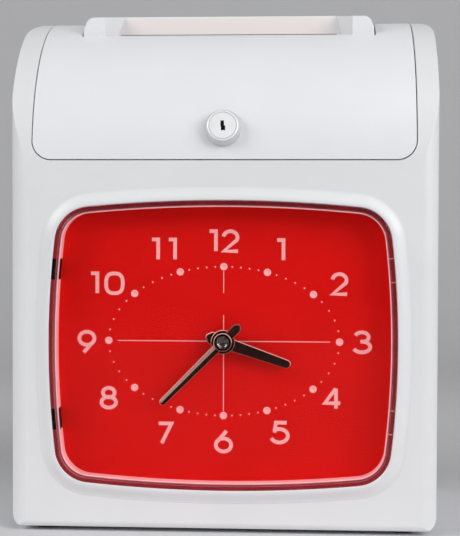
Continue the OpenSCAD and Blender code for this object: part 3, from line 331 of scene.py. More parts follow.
def board():
    """Circuit board: green mask over raised copper tracks, with the weave below it."""
    made = Finish("board", {})
    made.rounding(0.15)
    tracks = made.spread(made.cells(5.0, (1.0, 0.3, 1.0)), 1.0, 0.0, 0.02, 0.12)
    tone = made.mixed(tracks, srgb(22, 84, 52), srgb(46, 122, 76))
    weave = made.noise(0.8, 3.0)
    made.colour(made.mixed(made.spread(weave, 0.0, 0.3), tone, srgb(16, 66, 40)))
    made.roughness(made.spread(weave, 0.28, 0.42))
    made.relief(tracks, 0.05)
    return made.done()


def battery_wrap():
    """Shrink film: glossy, drawn in fine wrinkles across the cells."""
    made = Finish("battery_wrap", {"Coat Weight": 0.4, "Coat Roughness": 0.12})
    wrinkles = made.noise(4.0, 4.0, (1.0, 0.25, 0.25))
    made.colour(made.mixed(made.spread(wrinkles, 0.0, 1.0), srgb(34, 88, 142), srgb(26, 70, 118)))
    made.roughness(made.spread(wrinkles, 0.22, 0.36))
    made.relief(wrinkles, 0.15)
    return made.done()


def ribbon_cloth():
    """Inked nylon ribbon: a fine plain weave, darker where the ink lies."""
    made = Finish("ribbon_cloth", {"Sheen Weight": 0.15})
    warp = made.bands(0.6, "X")
    weft = made.bands(0.6, "Z")
    tone = made.mixed(warp, srgb(30, 26, 52), srgb(44, 38, 72))
    made.colour(made.mixed(made.spread(weft, 0.0, 0.5), tone, srgb(22, 18, 40)))
    made.roughness(made.spread(made.noise(5.0, 3.0), 0.6, 0.8))
    made.relief(warp, 0.05)
    made.relief(weft, 0.05)
    return made.done()


def display_glass():
    """Small liquid crystal window: grey-green film with a faint dot grid."""
    made = Finish("display_glass", {"Coat Weight": 0.8, "Coat Roughness": 0.05})
    made.rounding(0.2)
    across = made.spread(made.bands(0.9, "X"), 0.0, 1.0, 0.75, 0.95)
    upright = made.spread(made.bands(0.9, "Y"), 0.0, 1.0, 0.75, 0.95)
    tone = made.mixed(across, srgb(116, 128, 112), srgb(98, 110, 96))
    made.colour(made.mixed(upright, tone, srgb(98, 110, 96)))
    made.roughness(made.spread(made.noise(3.0, 3.0), 0.15, 0.25))
    return made.done()


GREY = (srgb(176, 178, 181), srgb(150, 152, 156))
COVER = (srgb(227, 228, 231), srgb(224, 225, 228))
DULL = {"Specular IOR Level": 0.1}
# Corners, softness and colour of a painted shade inside the card throat: a slightly darker, pinkish tint
THROAT_PAINTED_SHADE = ((-53.0, -15.5, 236.0), (53.0, -2.0, 253.6), (5.0, 0.8, 0.6), srgb(227, 219, 218))
# The numbers after the colours are roughness, grain size, grain depth and edge radius for moulded,
# roughness for brushed, roughness, edge radius and share of metal for polished, and roughness and
# edge radius for trim
FINISHES = {
    "case_plastic": moulded("case_plastic", srgb(222, 223, 225), srgb(218, 219, 221), 0.36, 0.7, 0.012, 0.6),
    "cover_plastic": moulded("cover_plastic", *COVER, 0.36, 0.7, 0.008, 0.5),
    # The card throat takes the cover plastic with that painted shade inside it
    "throat_plastic_painted_shade": moulded("throat_plastic_painted_shade", *COVER, 0.3, 0.7, 0.008, 0.5, tint=THROAT_PAINTED_SHADE),
    "white_plastic": moulded("white_plastic", srgb(222, 220, 212), srgb(212, 210, 202), 0.4, 0.6, 0.02, 0.2),
    "black_plastic": moulded("black_plastic", srgb(38, 39, 42), srgb(28, 29, 31), 0.45, 0.6, 0.03, 0.3),
    "button_plastic": moulded("button_plastic", srgb(96, 104, 116), srgb(84, 92, 104), 0.4, 0.5, 0.02, 0.5),
    # Near-black, dull finish for strips that stand in for the shade inside slots and the keyway: painted
    # shade
    "slot_painted_shade": moulded("slot_painted_shade", srgb(12, 6, 7), srgb(8, 4, 5), 0.6, 0.6, 0.01, 0.1, DULL),
    "rubber": rubber(),
    # Dark grey for the strip along the card throat's lip: painted shade
    "throat_slot_shade_grey": trim("throat_slot_shade_grey", srgb(126, 118, 118), srgb(112, 105, 105), 0.6),
    "steel": brushed("steel", *GREY, 0.34, "X"),
    # Lock plating: its near-white colour on a mostly non-metal finish is a painted reflection of a bright
    # surround; the next finish is a darker, more metallic copy for the side of the head, painted shade
    "lock_chrome": polished("lock_chrome", srgb(243, 244, 246), srgb(237, 238, 240), 0.36, 0.2, 0.2),
    "lock_side_painted_shade": polished("lock_side_painted_shade", srgb(214, 215, 218), srgb(204, 205, 208), 0.3, 0.1, 0.5),
    "hand_metal": polished("hand_metal", srgb(62, 32, 26), srgb(46, 24, 20), 0.2, 0.1),
    # Bevelled edges of the hands: a painted highlight on the side the light falls on and a darker copy as
    # painted shade on the other side
    "hand_edge_highlight": trim("hand_edge_highlight", srgb(234, 170, 160), srgb(220, 158, 148), 0.3, 0.02),
    "hand_edge_shade": trim("hand_edge_shade", srgb(132, 96, 86), srgb(118, 84, 75), 0.3, 0.02),
    # Paler copy of the hand finish for one facet of the minute hand: painted light
    "hand_lit_facet": trim("hand_lit_facet", srgb(136, 88, 75), srgb(124, 80, 68), 0.3, 0.05),
    "cap_metal": polished("cap_metal", srgb(104, 99, 95), srgb(90, 85, 82), 0.17, 0.1),
    "head_metal": brushed("head_metal", srgb(120, 122, 126), srgb(88, 90, 94), 0.4, "Z"),
    "brass": brushed("brass", srgb(214, 178, 104), srgb(186, 150, 82), 0.28, "Y"),
    "dial_red": dial_red(),
    "dial_trim": trim("dial_trim", srgb(190, 10, 46), srgb(170, 9, 40), 0.3),
    "dial_collar": trim("dial_collar", srgb(254, 196, 200), srgb(248, 180, 186), 0.4),
    "dial_print": dial_print(),
    "clear_lens": clear_lens(),
    "board": board(),
    "battery_wrap": battery_wrap(),
    "ribbon_cloth": ribbon_cloth(),
    "display_glass": display_glass(),
}
OWN_FINISH = {"card_throat": "throat_plastic_painted_shade"}
for part in record["subparts"]:
    mesh = nodes[part["node"]].data
    mesh.materials.clear()
    mesh.materials.append(FINISHES[OWN_FINISH.get(part["node"], part["material_slot"])])


# Mesh helpers
def add_piece(name, maker, slot, body, sharp=40.0, finishes=None):
    """Turn a bmesh in millimetres into an object that rides on a body.

    Its finishes are the ones named, or else the one of its slot.
    """
    bmesh.ops.recalc_face_normals(maker, faces=maker.faces)
    mesh = bpy.data.meshes.new(name)
    maker.to_mesh(mesh)
    maker.free()
    mesh.transform(Matrix.Scale(MM, 4))
    for polygon in mesh.polygons:
        polygon.use_smooth = True
    mesh.set_sharp_from_angle(angle=radians(sharp))
    for finish in finishes or (slot,):
        mesh.materials.append(FINISHES[finish])
    piece = bpy.data.objects.new(name, mesh)
    bpy.context.scene.collection.objects.link(piece)
    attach(piece, body)
    return piece


def loft(maker, rings, close=False, first=False, last=False, paint=None):
    """Quads between successive rings of points, with a face over the first or last ring.

    paint gives the material number for a step and a share of the way round the ring.
    """
    rows = [[maker.verts.new(point) for point in ring] for ring in rings]
    pairs = list(zip(rows, rows[1:]))
    if close:
        pairs.append((rows[-1], rows[0]))
    for step, (near, far) in enumerate(pairs):
        count = len(near)
        for i in range(count):
            j = (i + 1) % count
            face = maker.faces.new((near[i], near[j], far[j], far[i]))
            face.material_index = paint(step, i / count) if paint else 0
    if first:
        maker.faces.new(rows[0])
    if last:
        maker.faces.new(rows[-1])


def lathe(maker, profile, place, steps=64, close=False, last=False, paint=None):
    """A turned form: profile gives radius and height along the local Z axis."""
    rings = []
    for radius, height in profile:
        turn = [2 * pi * i / steps for i in range(steps)]
        rings.append([place @ Vector((radius * cos(a), radius * sin(a), height)) for a in turn])
    loft(maker, rings, close=close, last=last, paint=paint)


# Barrel outline of the lens: bowed sides and round corners
def bow_radius(half_chord, bow):
    """Radius of the arc that stands this far off its chord."""
    return (half_chord ** 2 + bow ** 2) / (2 * bow)


SIDE_R = bow_radius(LENS_H / 2, LENS_BOW_X)
CAP_R = bow_radius(LENS_W / 2, LENS_BOW_Z)
SIDE_CENTRE = Vector((LENS_W / 2 - SIDE_R, 0.0))
CAP_CENTRE = Vector((0.0, LENS_H / 2 - CAP_R))


def corner_centre():
    """Centre of the corner arc that meets the side arc and the cap arc smoothly."""
    span = CAP_CENTRE - SIDE_CENTRE
    to_side = SIDE_R - LENS_CORNER_R
    to_cap = CAP_R - LENS_CORNER_R
    along = (to_side ** 2 - to_cap ** 2 + span.length_squared) / (2 * span.length)
    across = sqrt(to_side ** 2 - along ** 2)
    toward = span.normalized()
    return SIDE_CENTRE + along * toward + across * Vector((-toward.y, toward.x))


SIDE_STEPS = 12
CORNER_STEPS = 14
CAP_STEPS = 14
CORNER_CENTRE = corner_centre()
SIDE_END = atan2(CORNER_CENTRE.y - SIDE_CENTRE.y, CORNER_CENTRE.x - SIDE_CENTRE.x)
CAP_START = atan2(CORNER_CENTRE.y - CAP_CENTRE.y, CORNER_CENTRE.x - CAP_CENTRE.x)


def sweep(centre, radius, start, end, steps):
    """Points along an arc, without its last one."""
    angles = [start + (end - start) * i / steps for i in range(steps)]
    return [(centre.x + radius * cos(a), centre.y + radius * sin(a)) for a in angles]


def barrel(grow, y, share=1.0):
    """Ring of points round the lens outline, moved out by grow, at depth y; share scales the ring."""
    quarter = sweep(SIDE_CENTRE, SIDE_R + grow, 0.0, SIDE_END, SIDE_STEPS)
    quarter += sweep(CORNER_CENTRE, LENS_CORNER_R + grow, SIDE_END, CAP_START, CORNER_STEPS)
    quarter += sweep(CAP_CENTRE, CAP_R + grow, CAP_START, pi / 2, CAP_STEPS)
    top = (0.0, LENS_H / 2 + grow)
    right_up = quarter + [top]
    left_up = [(-x, z) for x, z in reversed(quarter[1:])]
    half = right_up + left_up + [(-quarter[0][0], 0.0)]
    below = [(x, -z) for x, z in reversed(half[1:-1])]
    return [Vector((share * x, y, LENS_Z + share * z)) for x, z in half + below]


def smooth(t):
    """Soft run from 0 to 1."""
    return t * t * (3 - 2 * t)


# Raised lip of the case round the lens: it rises from the face and rolls over, and its wall in the gap
# beside the lens takes the dark red trim as painted shade for the gap
def lens_lip():
    foot = 6.8
    crown = 0.9
    rise = 2.2
    gap = 0.2
    steps = 14
    profile = []
    for i in range(steps + 1):
        t = i / steps
        profile.append((foot + (crown - foot) * t, FRONT_Y - rise * smooth(t)))
    rolled = [(0.6, 0.03), (0.4, 0.08), (0.26, 0.18), (gap, 0.3), (gap, 0.8)]
    profile += [(grow, FRONT_Y - rise + fall) for grow, fall in rolled]
    gap_shade_step = len(profile) - 1
    buried = 0.4
    profile += [(gap, LENS_BACK), (foot, FRONT_Y + buried)]

    # The wall in the gap beside the lens is painted dark red: painted shade in the gap
    def painted(step, share):
        return 1 if step == gap_shade_step else 0

    maker = bmesh.new()
    loft(maker, [barrel(grow, y) for grow, y in profile], close=True, paint=painted)
    add_piece("lens_lip", maker, "case_plastic", "root", finishes=("case_plastic", "dial_trim"))


lens_lip()


# Clear cap with a rounded front edge and a slightly crowned face
def lens_cap():
    edge = 1.6
    inner_edge = 0.15
    crown = 0.5
    steps = 7
    shares = (0.85, 0.65, 0.45, 0.25, 0.08)

    def shell(inset, front, radius):
        """Rings from the rear rim over the rounded edge to the middle of the face."""
        rim = front + crown
        rings = [barrel(-inset, LENS_BACK), barrel(-inset, rim + radius)]
        for i in range(1, steps + 1):
            a = pi / 2 * i / steps
            rings.append(barrel(-inset - radius * (1 - cos(a)), rim + radius * (1 - sin(a))))
        inner = -inset - radius
        for share in shares:
            rings.append(barrel(inner, front + crown * share ** 2, share))
        return rings

    outside = shell(0.0, LENS_FRONT, edge)
    inside = shell(LENS_WALL, LENS_FRONT + LENS_WALL, inner_edge)
    maker = bmesh.new()
    loft(maker, list(reversed(inside)) + outside, first=True, last=True)
    piece = add_piece("lens_cap", maker, "clear_lens", "root")
    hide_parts("dial_lens")


lens_cap()


# Frame round the dial: a dark face under the lens rim and a pale collar that reaches up into the lens
COLLAR_OUT = -LENS_WALL - 0.3
COLLAR_IN = COLLAR_OUT - 0.7
COLLAR_FRONT = frame_low.y
COLLAR_FLARE = 0.45


def dial_surround():
    outer = (frame_high.x - frame_low.x - LENS_W) / 2
    face_y = LENS_BACK + 0.2
    edge = 0.25
    profile = [(outer, DIAL_Y), (outer, face_y), (COLLAR_OUT, face_y), (COLLAR_OUT, COLLAR_FRONT + edge),
               (COLLAR_OUT - edge, COLLAR_FRONT), (COLLAR_IN + edge, COLLAR_FRONT),
               (COLLAR_IN, COLLAR_FRONT + edge), (COLLAR_IN + COLLAR_FLARE, DIAL_Y)]
    collar_start = 3
    collar_end = 6

    def pale_collar(step, share):
        return 1 if collar_start <= step <= collar_end else 0

    maker = bmesh.new()
    loft(maker, [barrel(grow, y) for grow, y in profile], close=True, paint=pale_collar)
    piece = add_piece("dial_surround", maker, "dial_trim", "root", finishes=("dial_trim", "dial_collar"))
    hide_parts("dial_frame")


# Snap tabs of the lens: height from its middle, length, depth of the face and its end at the collar
TAB_Z = 36.0
TAB_L = 10.0
TAB_Y = LENS_BACK + 0.14
TAB_END = COLLAR_OUT + 0.1


def side_strip(maker, side, low, high, near, far):
    """A strip beside the lens between two heights; near and far give its grow and depth."""
    steps = 6
    rows = []
    for i in range(steps + 1):
        z = low + (high - low) * i / steps
        row = []
        for grow, y in (near, far):
            x = SIDE_CENTRE.x + sqrt((SIDE_R + grow) ** 2 - z ** 2)
            row.append(maker.verts.new((side * x, y, LENS_Z + z)))
        rows.append(row)
    for under, over in zip(rows, rows[1:]):
        maker.faces.new((under[0], under[1], over[1], over[0]))


def snap_slot_shades():
    """Near-black strips on the frame and its collar on the left, where the snap tabs of the lens pass:
    painted shade standing in for the slots.
    """
    start = -0.5
    skin = 0.06
    front = COLLAR_FRONT + 0.8
    back = DIAL_Y - 0.3
    maker = bmesh.new()
    for middle in (-TAB_Z, TAB_Z):
        low = middle - TAB_L / 2
        high = middle + TAB_L / 2
        side_strip(maker, -1, low, high, (start, TAB_Y), (TAB_END, TAB_Y))
        side_strip(maker, -1, low, high, (COLLAR_IN - skin, front), (COLLAR_IN + COLLAR_FLARE - skin, back))
    add_piece("snap_slot_shades", maker, "black_plastic", "root", finishes=("slot_painted_shade",))


def snap_ribs():
    """Pale ribs across the frame on the right, at both ends of each snap tab."""
    start = -0.3
    half = 0.3
    beyond = TAB_L / 2 + 0.6
    maker = bmesh.new()
    for middle in (-TAB_Z, TAB_Z):
        for end in (middle - beyond, middle + beyond):
            side_strip(maker, 1, end - half, end + half, (start, TAB_Y), (TAB_END, TAB_Y))
    add_piece("snap_ribs", maker, "dial_trim", "root", finishes=("dial_collar",))


dial_surround()
snap_slot_shades()
snap_ribs()


# Print on the dial
PRINT_T = 0.3
PRINT_LIFT = 0.02
POLE_R = 0.05


def dial_point(x, z, lift):
    """Point in front of the dial plate, measured from the dial's middle."""
    return Vector((x, DIAL_Y - lift, DIAL_Z + z))


def stroke(maker, points, width, closed=False, lift=PRINT_T):
    """A flat raised line of constant width along points on the dial."""
    sharpest = 0.55
    path = [Vector(point) for point in points]
    count = len(path)
    rows = []
    for i, point in enumerate(path):
        before = path[i - 1] if (i > 0 or closed) else None
        after = path[(i + 1) % count] if (i < count - 1 or closed) else None
        incoming = (point - before).normalized() if before is not None else None
        outgoing = (after - point).normalized() if after is not None else None
        incoming = incoming or outgoing
        outgoing = outgoing or incoming
        bisector = (incoming + outgoing).normalized()
        side = Vector((-bisector.y, bisector.x))
        reach = width / 2 / max(bisector.dot(outgoing), sharpest)
        left = point + side * reach
        right = point - side * reach
        rows.append([dial_point(left.x, left.y, lift), dial_point(right.x, right.y, lift),
                     dial_point(right.x, right.y, -PRINT_LIFT), dial_point(left.x, left.y, -PRINT_LIFT)])
    loft(maker, rows, close=closed, first=not closed, last=not closed)


def bend(x, z, rx, rz, start, end, steps=18):
    """Points along an elliptic arc, with angles in degrees."""
    angles = [radians(start + (end - start) * i / steps) for i in range(steps + 1)]
    return [(x + rx * cos(a), z + rz * sin(a)) for a in angles]


def loop(x, z, rx, rz, square=2.0, steps=36):
    """Points round a closed oval; a higher square makes its sides straighter."""
    def pull(value):
        return (1 if value >= 0 else -1) * abs(value) ** (2 / square)
    angles = [2 * pi * i / steps for i in range(steps)]
    return [(x + rx * pull(cos(a)), z + rz * pull(sin(a))) for a in angles]


# Each digit: its width, then strokes as (points in a unit box, whether they close)
DIGITS = {
    "0": (9.9, [(loop(0.5, 0.5, 0.5, 0.5, 2.7), True)]),
    "1": (4.8, [([(0.0, 1.0), (1.0, 1.0), (1.0, 0.0)], False)]),
    "2": (9.1, [(bend(0.5, 0.69, 0.46, 0.31, 172, -28) + [(0.06, 0.0), (1.0, 0.0)], False)]),
    "3": (9.4, [(bend(0.47, 0.76, 0.43, 0.24, 160, -80), False),
                (bend(0.47, 0.27, 0.53, 0.27, 100, -158), False)]),
    "4": (9.2, [([(0.72, 0.0), (0.72, 1.0)], False),
                ([(0.70, 1.0), (0.0, 0.27), (1.0, 0.27)], False)]),
    "5": (9.4, [([(0.92, 1.0), (0.24, 1.0), (0.15, 0.5)], False),
                (bend(0.46, 0.34, 0.54, 0.34, 135, -158), False)]),
    "6": (9.2, [(loop(0.5, 0.33, 0.5, 0.33), True), ([(0.7, 1.04), (0.07, 0.48)], False)]),
    "7": (8.0, [([(0.0, 1.0), (1.0, 1.0), (0.24, 0.0)], False)]),
    "8": (8.9, [(loop(0.5, 0.76, 0.4, 0.24), True), (loop(0.5, 0.27, 0.5, 0.27), True)]),
    "9": (9.2, [(loop(0.5, 0.67, 0.5, 0.33), True), ([(0.3, -0.04), (0.93, 0.52)], False)]),
}
NUMERAL_H = 11.4
NUMERAL_STROKE = 1.78
NUMERAL_GAP = {"10": 2.5, "11": 3.4, "12": 1.6}
NUMERAL_PLACES = {
    "12": (0.0, 48.3), "1": (27.2, 44.1), "2": (55.6, 27.9), "3": (66.7, 0.0), "4": (52.6, -27.2),
    "5": (27.4, -43.9), "6": (0.1, -48.6), "7": (-28.3, -44.9), "8": (-55.8, -27.9), "9": (-66.5, -0.7),
    "10": (-56.7, 27.7), "11": (-29.2, 44.2),
}


def numerals():
    crossing_lift = 0.02
    maker = bmesh.new()
    for word, (middle_x, middle_z) in NUMERAL_PLACES.items():
        widths = [DIGITS[digit][0] for digit in word]
        gap = NUMERAL_GAP.get(word, 0.0)
        left = middle_x - (sum(widths) + gap * (len(word) - 1)) / 2 + NUMERAL_STROKE / 2
        low = middle_z - NUMERAL_H / 2 + NUMERAL_STROKE / 2
        for digit, width in zip(word, widths):
            inner_w = width - NUMERAL_STROKE
            inner_h = NUMERAL_H - NUMERAL_STROKE
            for index, (points, closed) in enumerate(DIGITS[digit][1]):
                placed = [(left + inner_w * u, low + inner_h * v) for u, v in points]
                stroke(maker, placed, NUMERAL_STROKE, closed, PRINT_T + crossing_lift * index)
            left += width + gap
    add_piece("dial_numerals", maker, "dial_print", "root")


def marker_place(turn):
    """Place on the marker ellipse met by a stretched ray at this many degrees from 12."""
    x = MARKER_STRETCH * sin(radians(turn))
    z = cos(radians(turn))
    reach = 1 / hypot(x / MARKER_A, z / MARKER_B)
    return reach * x, reach * z


def facing(x, z, y):
    """A local frame on the dial whose Z axis points out of the dial."""
    return Matrix.Translation((x, y, DIAL_Z + z)) @ Matrix.Rotation(pi / 2, 4, "X")


def hour_dots():
    """Bevelled dots with a shallow dish."""
    side = 0.25
    top = 0.4
    bevel = 0.15
    dish_r = 0.95
    profile = [(MARKER_R, 0.0), (MARKER_R, side), (MARKER_R - bevel, top), (dish_r, top),
               (dish_r - bevel, 0.28), (POLE_R, 0.26)]
    maker = bmesh.new()
    for hour in range(12):
        x, z = marker_place(30 * hour)
        lathe(maker, profile, facing(x, z, DIAL_Y), 32, last=True)
    piece = add_piece("hour_dots", maker, "dial_print", "root")
    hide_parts("hour_markers")


def minute_dots():
    """Small crowned dots between the hours."""
    radius = 0.4
    side = 0.1
    bevel = 0.1
    profile = [(radius, -PRINT_LIFT), (radius, side), (radius - bevel, 0.16), (POLE_R, 0.18)]
    maker = bmesh.new()
    for minute in range(60):
        if minute % 5:
            x, z = marker_place(6 * minute)
            lathe(maker, profile, facing(x, z, DIAL_Y), 16, last=True)
    add_piece("minute_dots", maker, "dial_print", "root")


def dial_lines():
    """Thin cross lines, with a break above the middle."""
    maker = bmesh.new()
    width = 0.4
    half_l = 51.3
    upright_lift = 0.08
    level_lift = 0.09
    for top, bottom in ((34.0, 23.3), (12.7, -33.8)):
        stroke(maker, [(0.0, top), (0.0, bottom)], width, lift=upright_lift)
    stroke(maker, [(-half_l, 0.0), (half_l, 0.0)], width, lift=level_lift)
    add_piece("dial_lines", maker, "dial_print", "root")


numerals()
hour_dots()
minute_dots()
dial_lines()


# Hands
# Dark metal, the painted highlight and painted shade of the edges, and the painted light on the minute
# hand's facet
HAND_FINISHES = ("hand_metal", "hand_edge_highlight", "hand_edge_shade", "hand_lit_facet")
# Turns from 12 at rest, for one true time
HOUR_TURN = radians(108.75)
MINUTE_TURN = radians(225.0)


def hand_outline(root_w, tip_w, length, tail, inset, y, turn, squeeze=1.0):
    """Ring round a tapered hand with a round tip and a clipped tail, turned to its angle."""
    root = root_w / 2 - inset
    tip = tip_w / 2 - inset
    tip_centre = length - tip_w / 2
    clip = 0.36 * root_w
    end = -tail + inset
    tip_steps = 10
    round_tip = [pi * i / tip_steps for i in range(tip_steps + 1)]
    flat = [(root - clip, end), (root, end + clip), (root, 0.0)]
    flat += [(tip * cos(a), tip_centre + tip * sin(a)) for a in round_tip]
    flat += [(-root, 0.0), (-root, end + clip), (-root + clip, end)]
    ring = []
    for u, v in flat:
        u *= squeeze
        ring.append(Vector((u * cos(turn) + v * sin(turn), y, DIAL_Z - u * sin(turn) + v * cos(turn))))
    return ring


def edge_light_paint(start, end):
    """Painter for the edge: a painted highlight from start to end of the ring, on the side the light falls
    on, and a painted shade, a duller copy, elsewhere.
    """
    edge = 1

    def painted(step, share):
        if step != edge:
            return 0
        return 1 if start <= share < end else 2
    return painted


def hand_boss(maker, back, front, outer, bore, side, rim_h, rim_w, dish_h, lit_span):
    """Round boss of a hand: a bevelled rim about a lower face, with heights from the blade's front."""
    bevel = 0.3
    rim_out = outer - bevel
    rim_in = rim_out - rim_w
    profile = [(outer, -back), (outer, side - front), (rim_out, rim_h - front), (rim_in, rim_h - front),
               (rim_in - bevel, dish_h - front), (bore, dish_h - front), (bore, -back)]
    # The rim's edge takes the painted highlight over the lit span of the ring and painted shade elsewhere
    lathe(maker, profile, facing(0.0, 0.0, 0.0), close=True, paint=edge_light_paint(*lit_span))


def hour_hand():
    """Flat dark blade inside a bevelled edge with a painted highlight on its upper side and painted shade on
    its lower side, on a round boss.
    """
    low, high = node_box("hour_hand")
    back, front = high.y, low.y
    size = {"root_w": 6.0, "tip_w": 4.2, "length": 34.2, "tail": 8.7}
    layers = ((0.0, back), (0.0, front + 0.55), (0.32, front + 0.05), (0.42, front), (0.62, front + 0.2))
    rings = [hand_outline(**size, inset=inset, y=y, turn=HOUR_TURN) for inset, y in layers]
    maker = bmesh.new()
    loft(maker, rings, first=True, last=True, paint=edge_light_paint(0.47, 1.0))
    hand_boss(maker, back, front, outer=5.8, bore=2.7, side=0.0, rim_h=0.3, rim_w=0.3, dish_h=0.1,
              lit_span=(0.05, 0.5))
    piece = add_piece("hour_hand_blade", maker, "hand_metal", "hour", 25.0, HAND_FINISHES)
    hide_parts("hour_hand")


def minute_hand():
    """Ridged blade with a painted highlight on its upper edges, painted shade on its lower edges and painted
    light on one facet, on a ringed boss.
    """
    low, high = node_box("minute_hand")
    back, front = high.y, low.y
    size = {"root_w": 4.3, "tip_w": 3.3, "length": 42.4, "tail": 11.6}
    layers = ((0.0, back, 1.0), (0.0, front + 1.05, 1.0), (0.28, front + 0.65, 1.0), (0.3, front, 0.12))
    rings = [hand_outline(**size, inset=inset, y=y, turn=MINUTE_TURN, squeeze=squeeze)
             for inset, y, squeeze in layers]
    lit_facet = 2
    lit_facet_start = 0.06
    lit_facet_end = 0.42
    rim = edge_light_paint(0.06, 0.5)

    def painted(step, share):
        return 3 if step == lit_facet and lit_facet_start < share < lit_facet_end else rim(step, share)

    maker = bmesh.new()
    loft(maker, rings, first=True, last=True, paint=painted)
    hand_boss(maker, back, front, outer=4.4, bore=1.6, side=0.2, rim_h=0.5, rim_w=0.4, dish_h=0.2,
              lit_span=(0.0, 0.55))
    piece = add_piece("minute_hand_blade", maker, "hand_metal", "minute", 20.0, HAND_FINISHES)
    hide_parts("minute_hand")


def hand_cap():
    """Polished cap with a dished face inside a rounded rim."""
    low, high = node_box("hand_cap")
    base = -high.y
    top = -low.y
    radius = 3.1
    dish_r = 2.6
    dish_d = 0.85
    steps = 12
    rounded = [(0.0, 0.3), (0.1, 0.1), (0.25, 0.0)]
    profile = [(radius, base)]
    profile += [(radius - inset, top - fall) for inset, fall in rounded]
    profile.append((dish_r, top))
    for i in range(1, steps):
        share = 1 - i / steps
        profile.append((dish_r * share, top - dish_d * (1 - share ** 2)))
    maker = bmesh.new()
    lathe(maker, profile, facing(0.0, 0.0, 0.0), 48, last=True)
    piece = add_piece("hand_cap_dish", maker, "cap_metal", "minute")
    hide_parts("hand_cap")


hour_hand()
minute_hand()
hand_cap()


# Lock: the middle of its seat on the cover, and how far the cover leans back there
LOCK_PLACE = Vector((0.0, -58.23, 193.6))
LOCK_TILT = radians(12.47)
LOCK_FRAME = Matrix.Translation(LOCK_PLACE) @ Matrix.Rotation(pi / 2 - LOCK_TILT, 4, "X")


def lock_head():
    """Barrel and a tapered, rounded head; the profile runs from the rear of the bore to its front."""
    bore = 6.6
    barrel_r = 8.0
    barrel_l = 8.0
    bevel = 0.4
    head_r = 8.8
    profile = [(bore, -barrel_l), (barrel_r - bevel, -barrel_l), (barrel_r, -barrel_l + bevel),
               (barrel_r, 0.0), (head_r, 0.0), (head_r, 0.7), (8.66, 1.2), (7.7, 3.7), (7.45, 4.15),
               (7.1, 4.42), (6.85, 4.5), (bore, 4.4)]
    # The side of the head takes the darker copy of the plating: painted shade
    side_start = 3
    side_end = 7

    def painted(step, share):
        return 1 if side_start <= step <= side_end else 0

    maker = bmesh.new()
    lathe(maker, profile, LOCK_FRAME, 72, close=True, paint=painted)
    piece = add_piece("lock_head", maker, "lock_chrome", "cover", finishes=("lock_chrome", "lock_side_painted_shade"))
    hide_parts("lock_body")


def keyway_shade():
    """Near-black block just under the face, inside the stepped keyway of the plug: painted shade standing in
    for the keyway's depth.
    """
    top = 4.1
    deep = -2.0
    bevel = 0.15
    top_share = 0.9
    outline = [(-1.0, 2.35), (-1.0, -0.25), (-0.8, -0.25), (-0.8, -2.35),
               (1.2, -2.35), (1.2, -0.05), (0.6, -0.05), (0.6, 2.35)]
    maker = bmesh.new()
    rings = []
    for height, share in ((deep, 1.0), (top - bevel, 1.0), (top, top_share)):
        rings.append([LOCK_FRAME @ Vector((share * x, share * y, height)) for x, y in outline])
    loft(maker, rings, first=True, last=True)
    add_piece("keyway_shade", maker, "black_plastic", "lock", finishes=("slot_painted_shade",))


lock_head()
keyway_shade()


# Card throat: a dark grey strip along its front lip, painted shade for the gap between the lip and the back
# wall
def throat_slot_shade():
    half_l = 54.0
    front = -21.75
    back = -21.15
    foot = 242.16
    shoulder = 242.81
    bevel = 0.15
    section = [(front, foot), (front, shoulder), (front + bevel, shoulder + bevel),
               (back - bevel, shoulder + bevel), (back, shoulder), (back, foot)]
    maker = bmesh.new()
    loft(maker, [[Vector((x, y, z)) for y, z in section] for x in (-half_l, half_l)], first=True, last=True)
    add_piece("throat_slot_shade", maker, "rubber", "root", finishes=("throat_slot_shade_grey",))


throat_slot_shade()


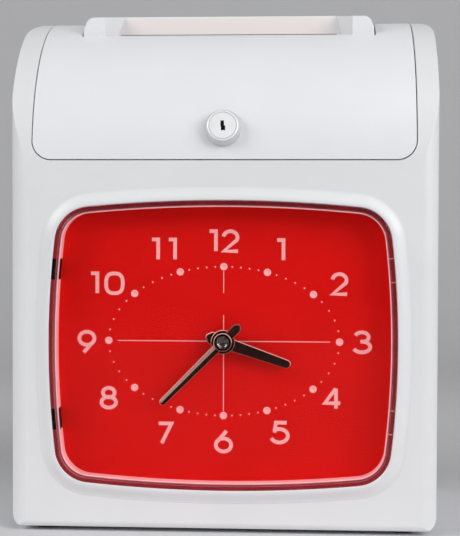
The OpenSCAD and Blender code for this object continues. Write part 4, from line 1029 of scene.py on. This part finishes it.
# Floor and backdrop in one sweep, in metres
def studio():
    depth_front = -2.2
    depth_back = 1.3
    half = 3.0
    radius = 0.6
    height = 2.6
    steps = 12
    rows = [(depth_front, 0.0), (depth_back - radius, 0.0)]
    for i in range(1, steps + 1):
        a = pi / 2 * i / steps
        rows.append((depth_back - radius + radius * sin(a), radius - radius * cos(a)))
    rows.append((depth_back, height))
    maker = bmesh.new()
    strips = [[maker.verts.new((x, y, z)) for x in (-half, half)] for y, z in rows]
    for near, far in zip(strips, strips[1:]):
        maker.faces.new((near[0], near[1], far[1], far[0]))
    mesh = bpy.data.meshes.new("studio_floor")
    maker.to_mesh(mesh)
    maker.free()
    for polygon in mesh.polygons:
        polygon.use_smooth = True
    paper = Finish("studio_paper", {"Specular IOR Level": 0.1})
    # Bounced light meets a pale sheet under the object; the camera, metal and glass see an even grey
    sheet_low = (-260.0, -330.0, -10.0)
    sheet_high = (260.0, 330.0, 10.0)
    sheet_soft = (120.0, 120.0, 5.0)
    sheet = paper.inside(sheet_low, sheet_high, sheet_soft)
    bounce = paper.mixed(sheet, srgb(198, 198, 200), srgb(244, 244, 246))
    seen = paper.mixed(paper.noise(60.0, 2.0), srgb(206, 206, 209), srgb(203, 203, 206))
    paper.colour(paper.mixed(paper.rays("Camera", "Glossy", "Transmission"), bounce, seen))
    paper.roughness(paper.spread(paper.noise(20.0), 0.75, 0.85))
    mesh.materials.append(paper.done())
    floor = bpy.data.objects.new("studio_floor", mesh)
    bpy.context.scene.collection.objects.link(floor)


studio()


# Soft lamps, in metres and watts, all turned to the middle of the object
AIM = Vector((0.0, -0.02, 0.12))


def lamp(name, place, width, height, watts):
    light = bpy.data.lights.new(name, "AREA")
    light.shape = "RECTANGLE"
    light.size = width
    light.size_y = height
    light.energy = watts
    made = bpy.data.objects.new(name, light)
    made.location = place
    made.rotation_euler = (AIM - Vector(place)).to_track_quat("-Z", "Y").to_euler()
    bpy.context.scene.collection.objects.link(made)


lamp("left_lamp", (-1.2, -0.7, 0.9), 0.9, 0.8, 13.3)
lamp("right_lamp", (1.2, -0.8, 0.7), 0.8, 0.8, 13.1)
lamp("key_lamp", (0.6, -0.98, 1.3), 0.9, 0.7, 5.2)

scene = bpy.context.scene
world = bpy.data.worlds.new("studio_world")
scene.world = world
world.use_nodes = True
sky = world.node_tree.nodes["Background"]
sky.inputs["Color"].default_value = (1.0, 1.0, 1.0, 1.0)
sky.inputs["Strength"].default_value = 0.2

# Camera at the photograph's angle, with its place in millimetres and its turns in degrees
IMAGE_LONG = 536
FOCAL_PX = 1387.62
SENSOR = 36.0
camera_data = bpy.data.cameras.new("photo_camera")
camera_data.sensor_width = SENSOR
camera_data.lens = FOCAL_PX * SENSOR / IMAGE_LONG
camera_data.clip_start = 0.05
camera_data.clip_end = 20.0
camera = bpy.data.objects.new("photo_camera", camera_data)
scene.collection.objects.link(camera)
scene.camera = camera
CAMERA_PLACE = Vector((43.47, -717.75, 145.99))
YAW = radians(-3.472)
PITCH = radians(-1.641)
ROLL = radians(0.172)
ahead = Vector((sin(YAW) * cos(PITCH), cos(YAW) * cos(PITCH), sin(PITCH)))
level = Vector((cos(YAW), -sin(YAW), 0.0))
above = level.cross(ahead)
right = cos(ROLL) * level + sin(ROLL) * above
up = -sin(ROLL) * level + cos(ROLL) * above
turned = Matrix((right, up, -ahead)).transposed()
camera.matrix_world = Matrix.Translation(CAMERA_PLACE * MM) @ turned.to_4x4()

scene.view_settings.view_transform = "Standard"
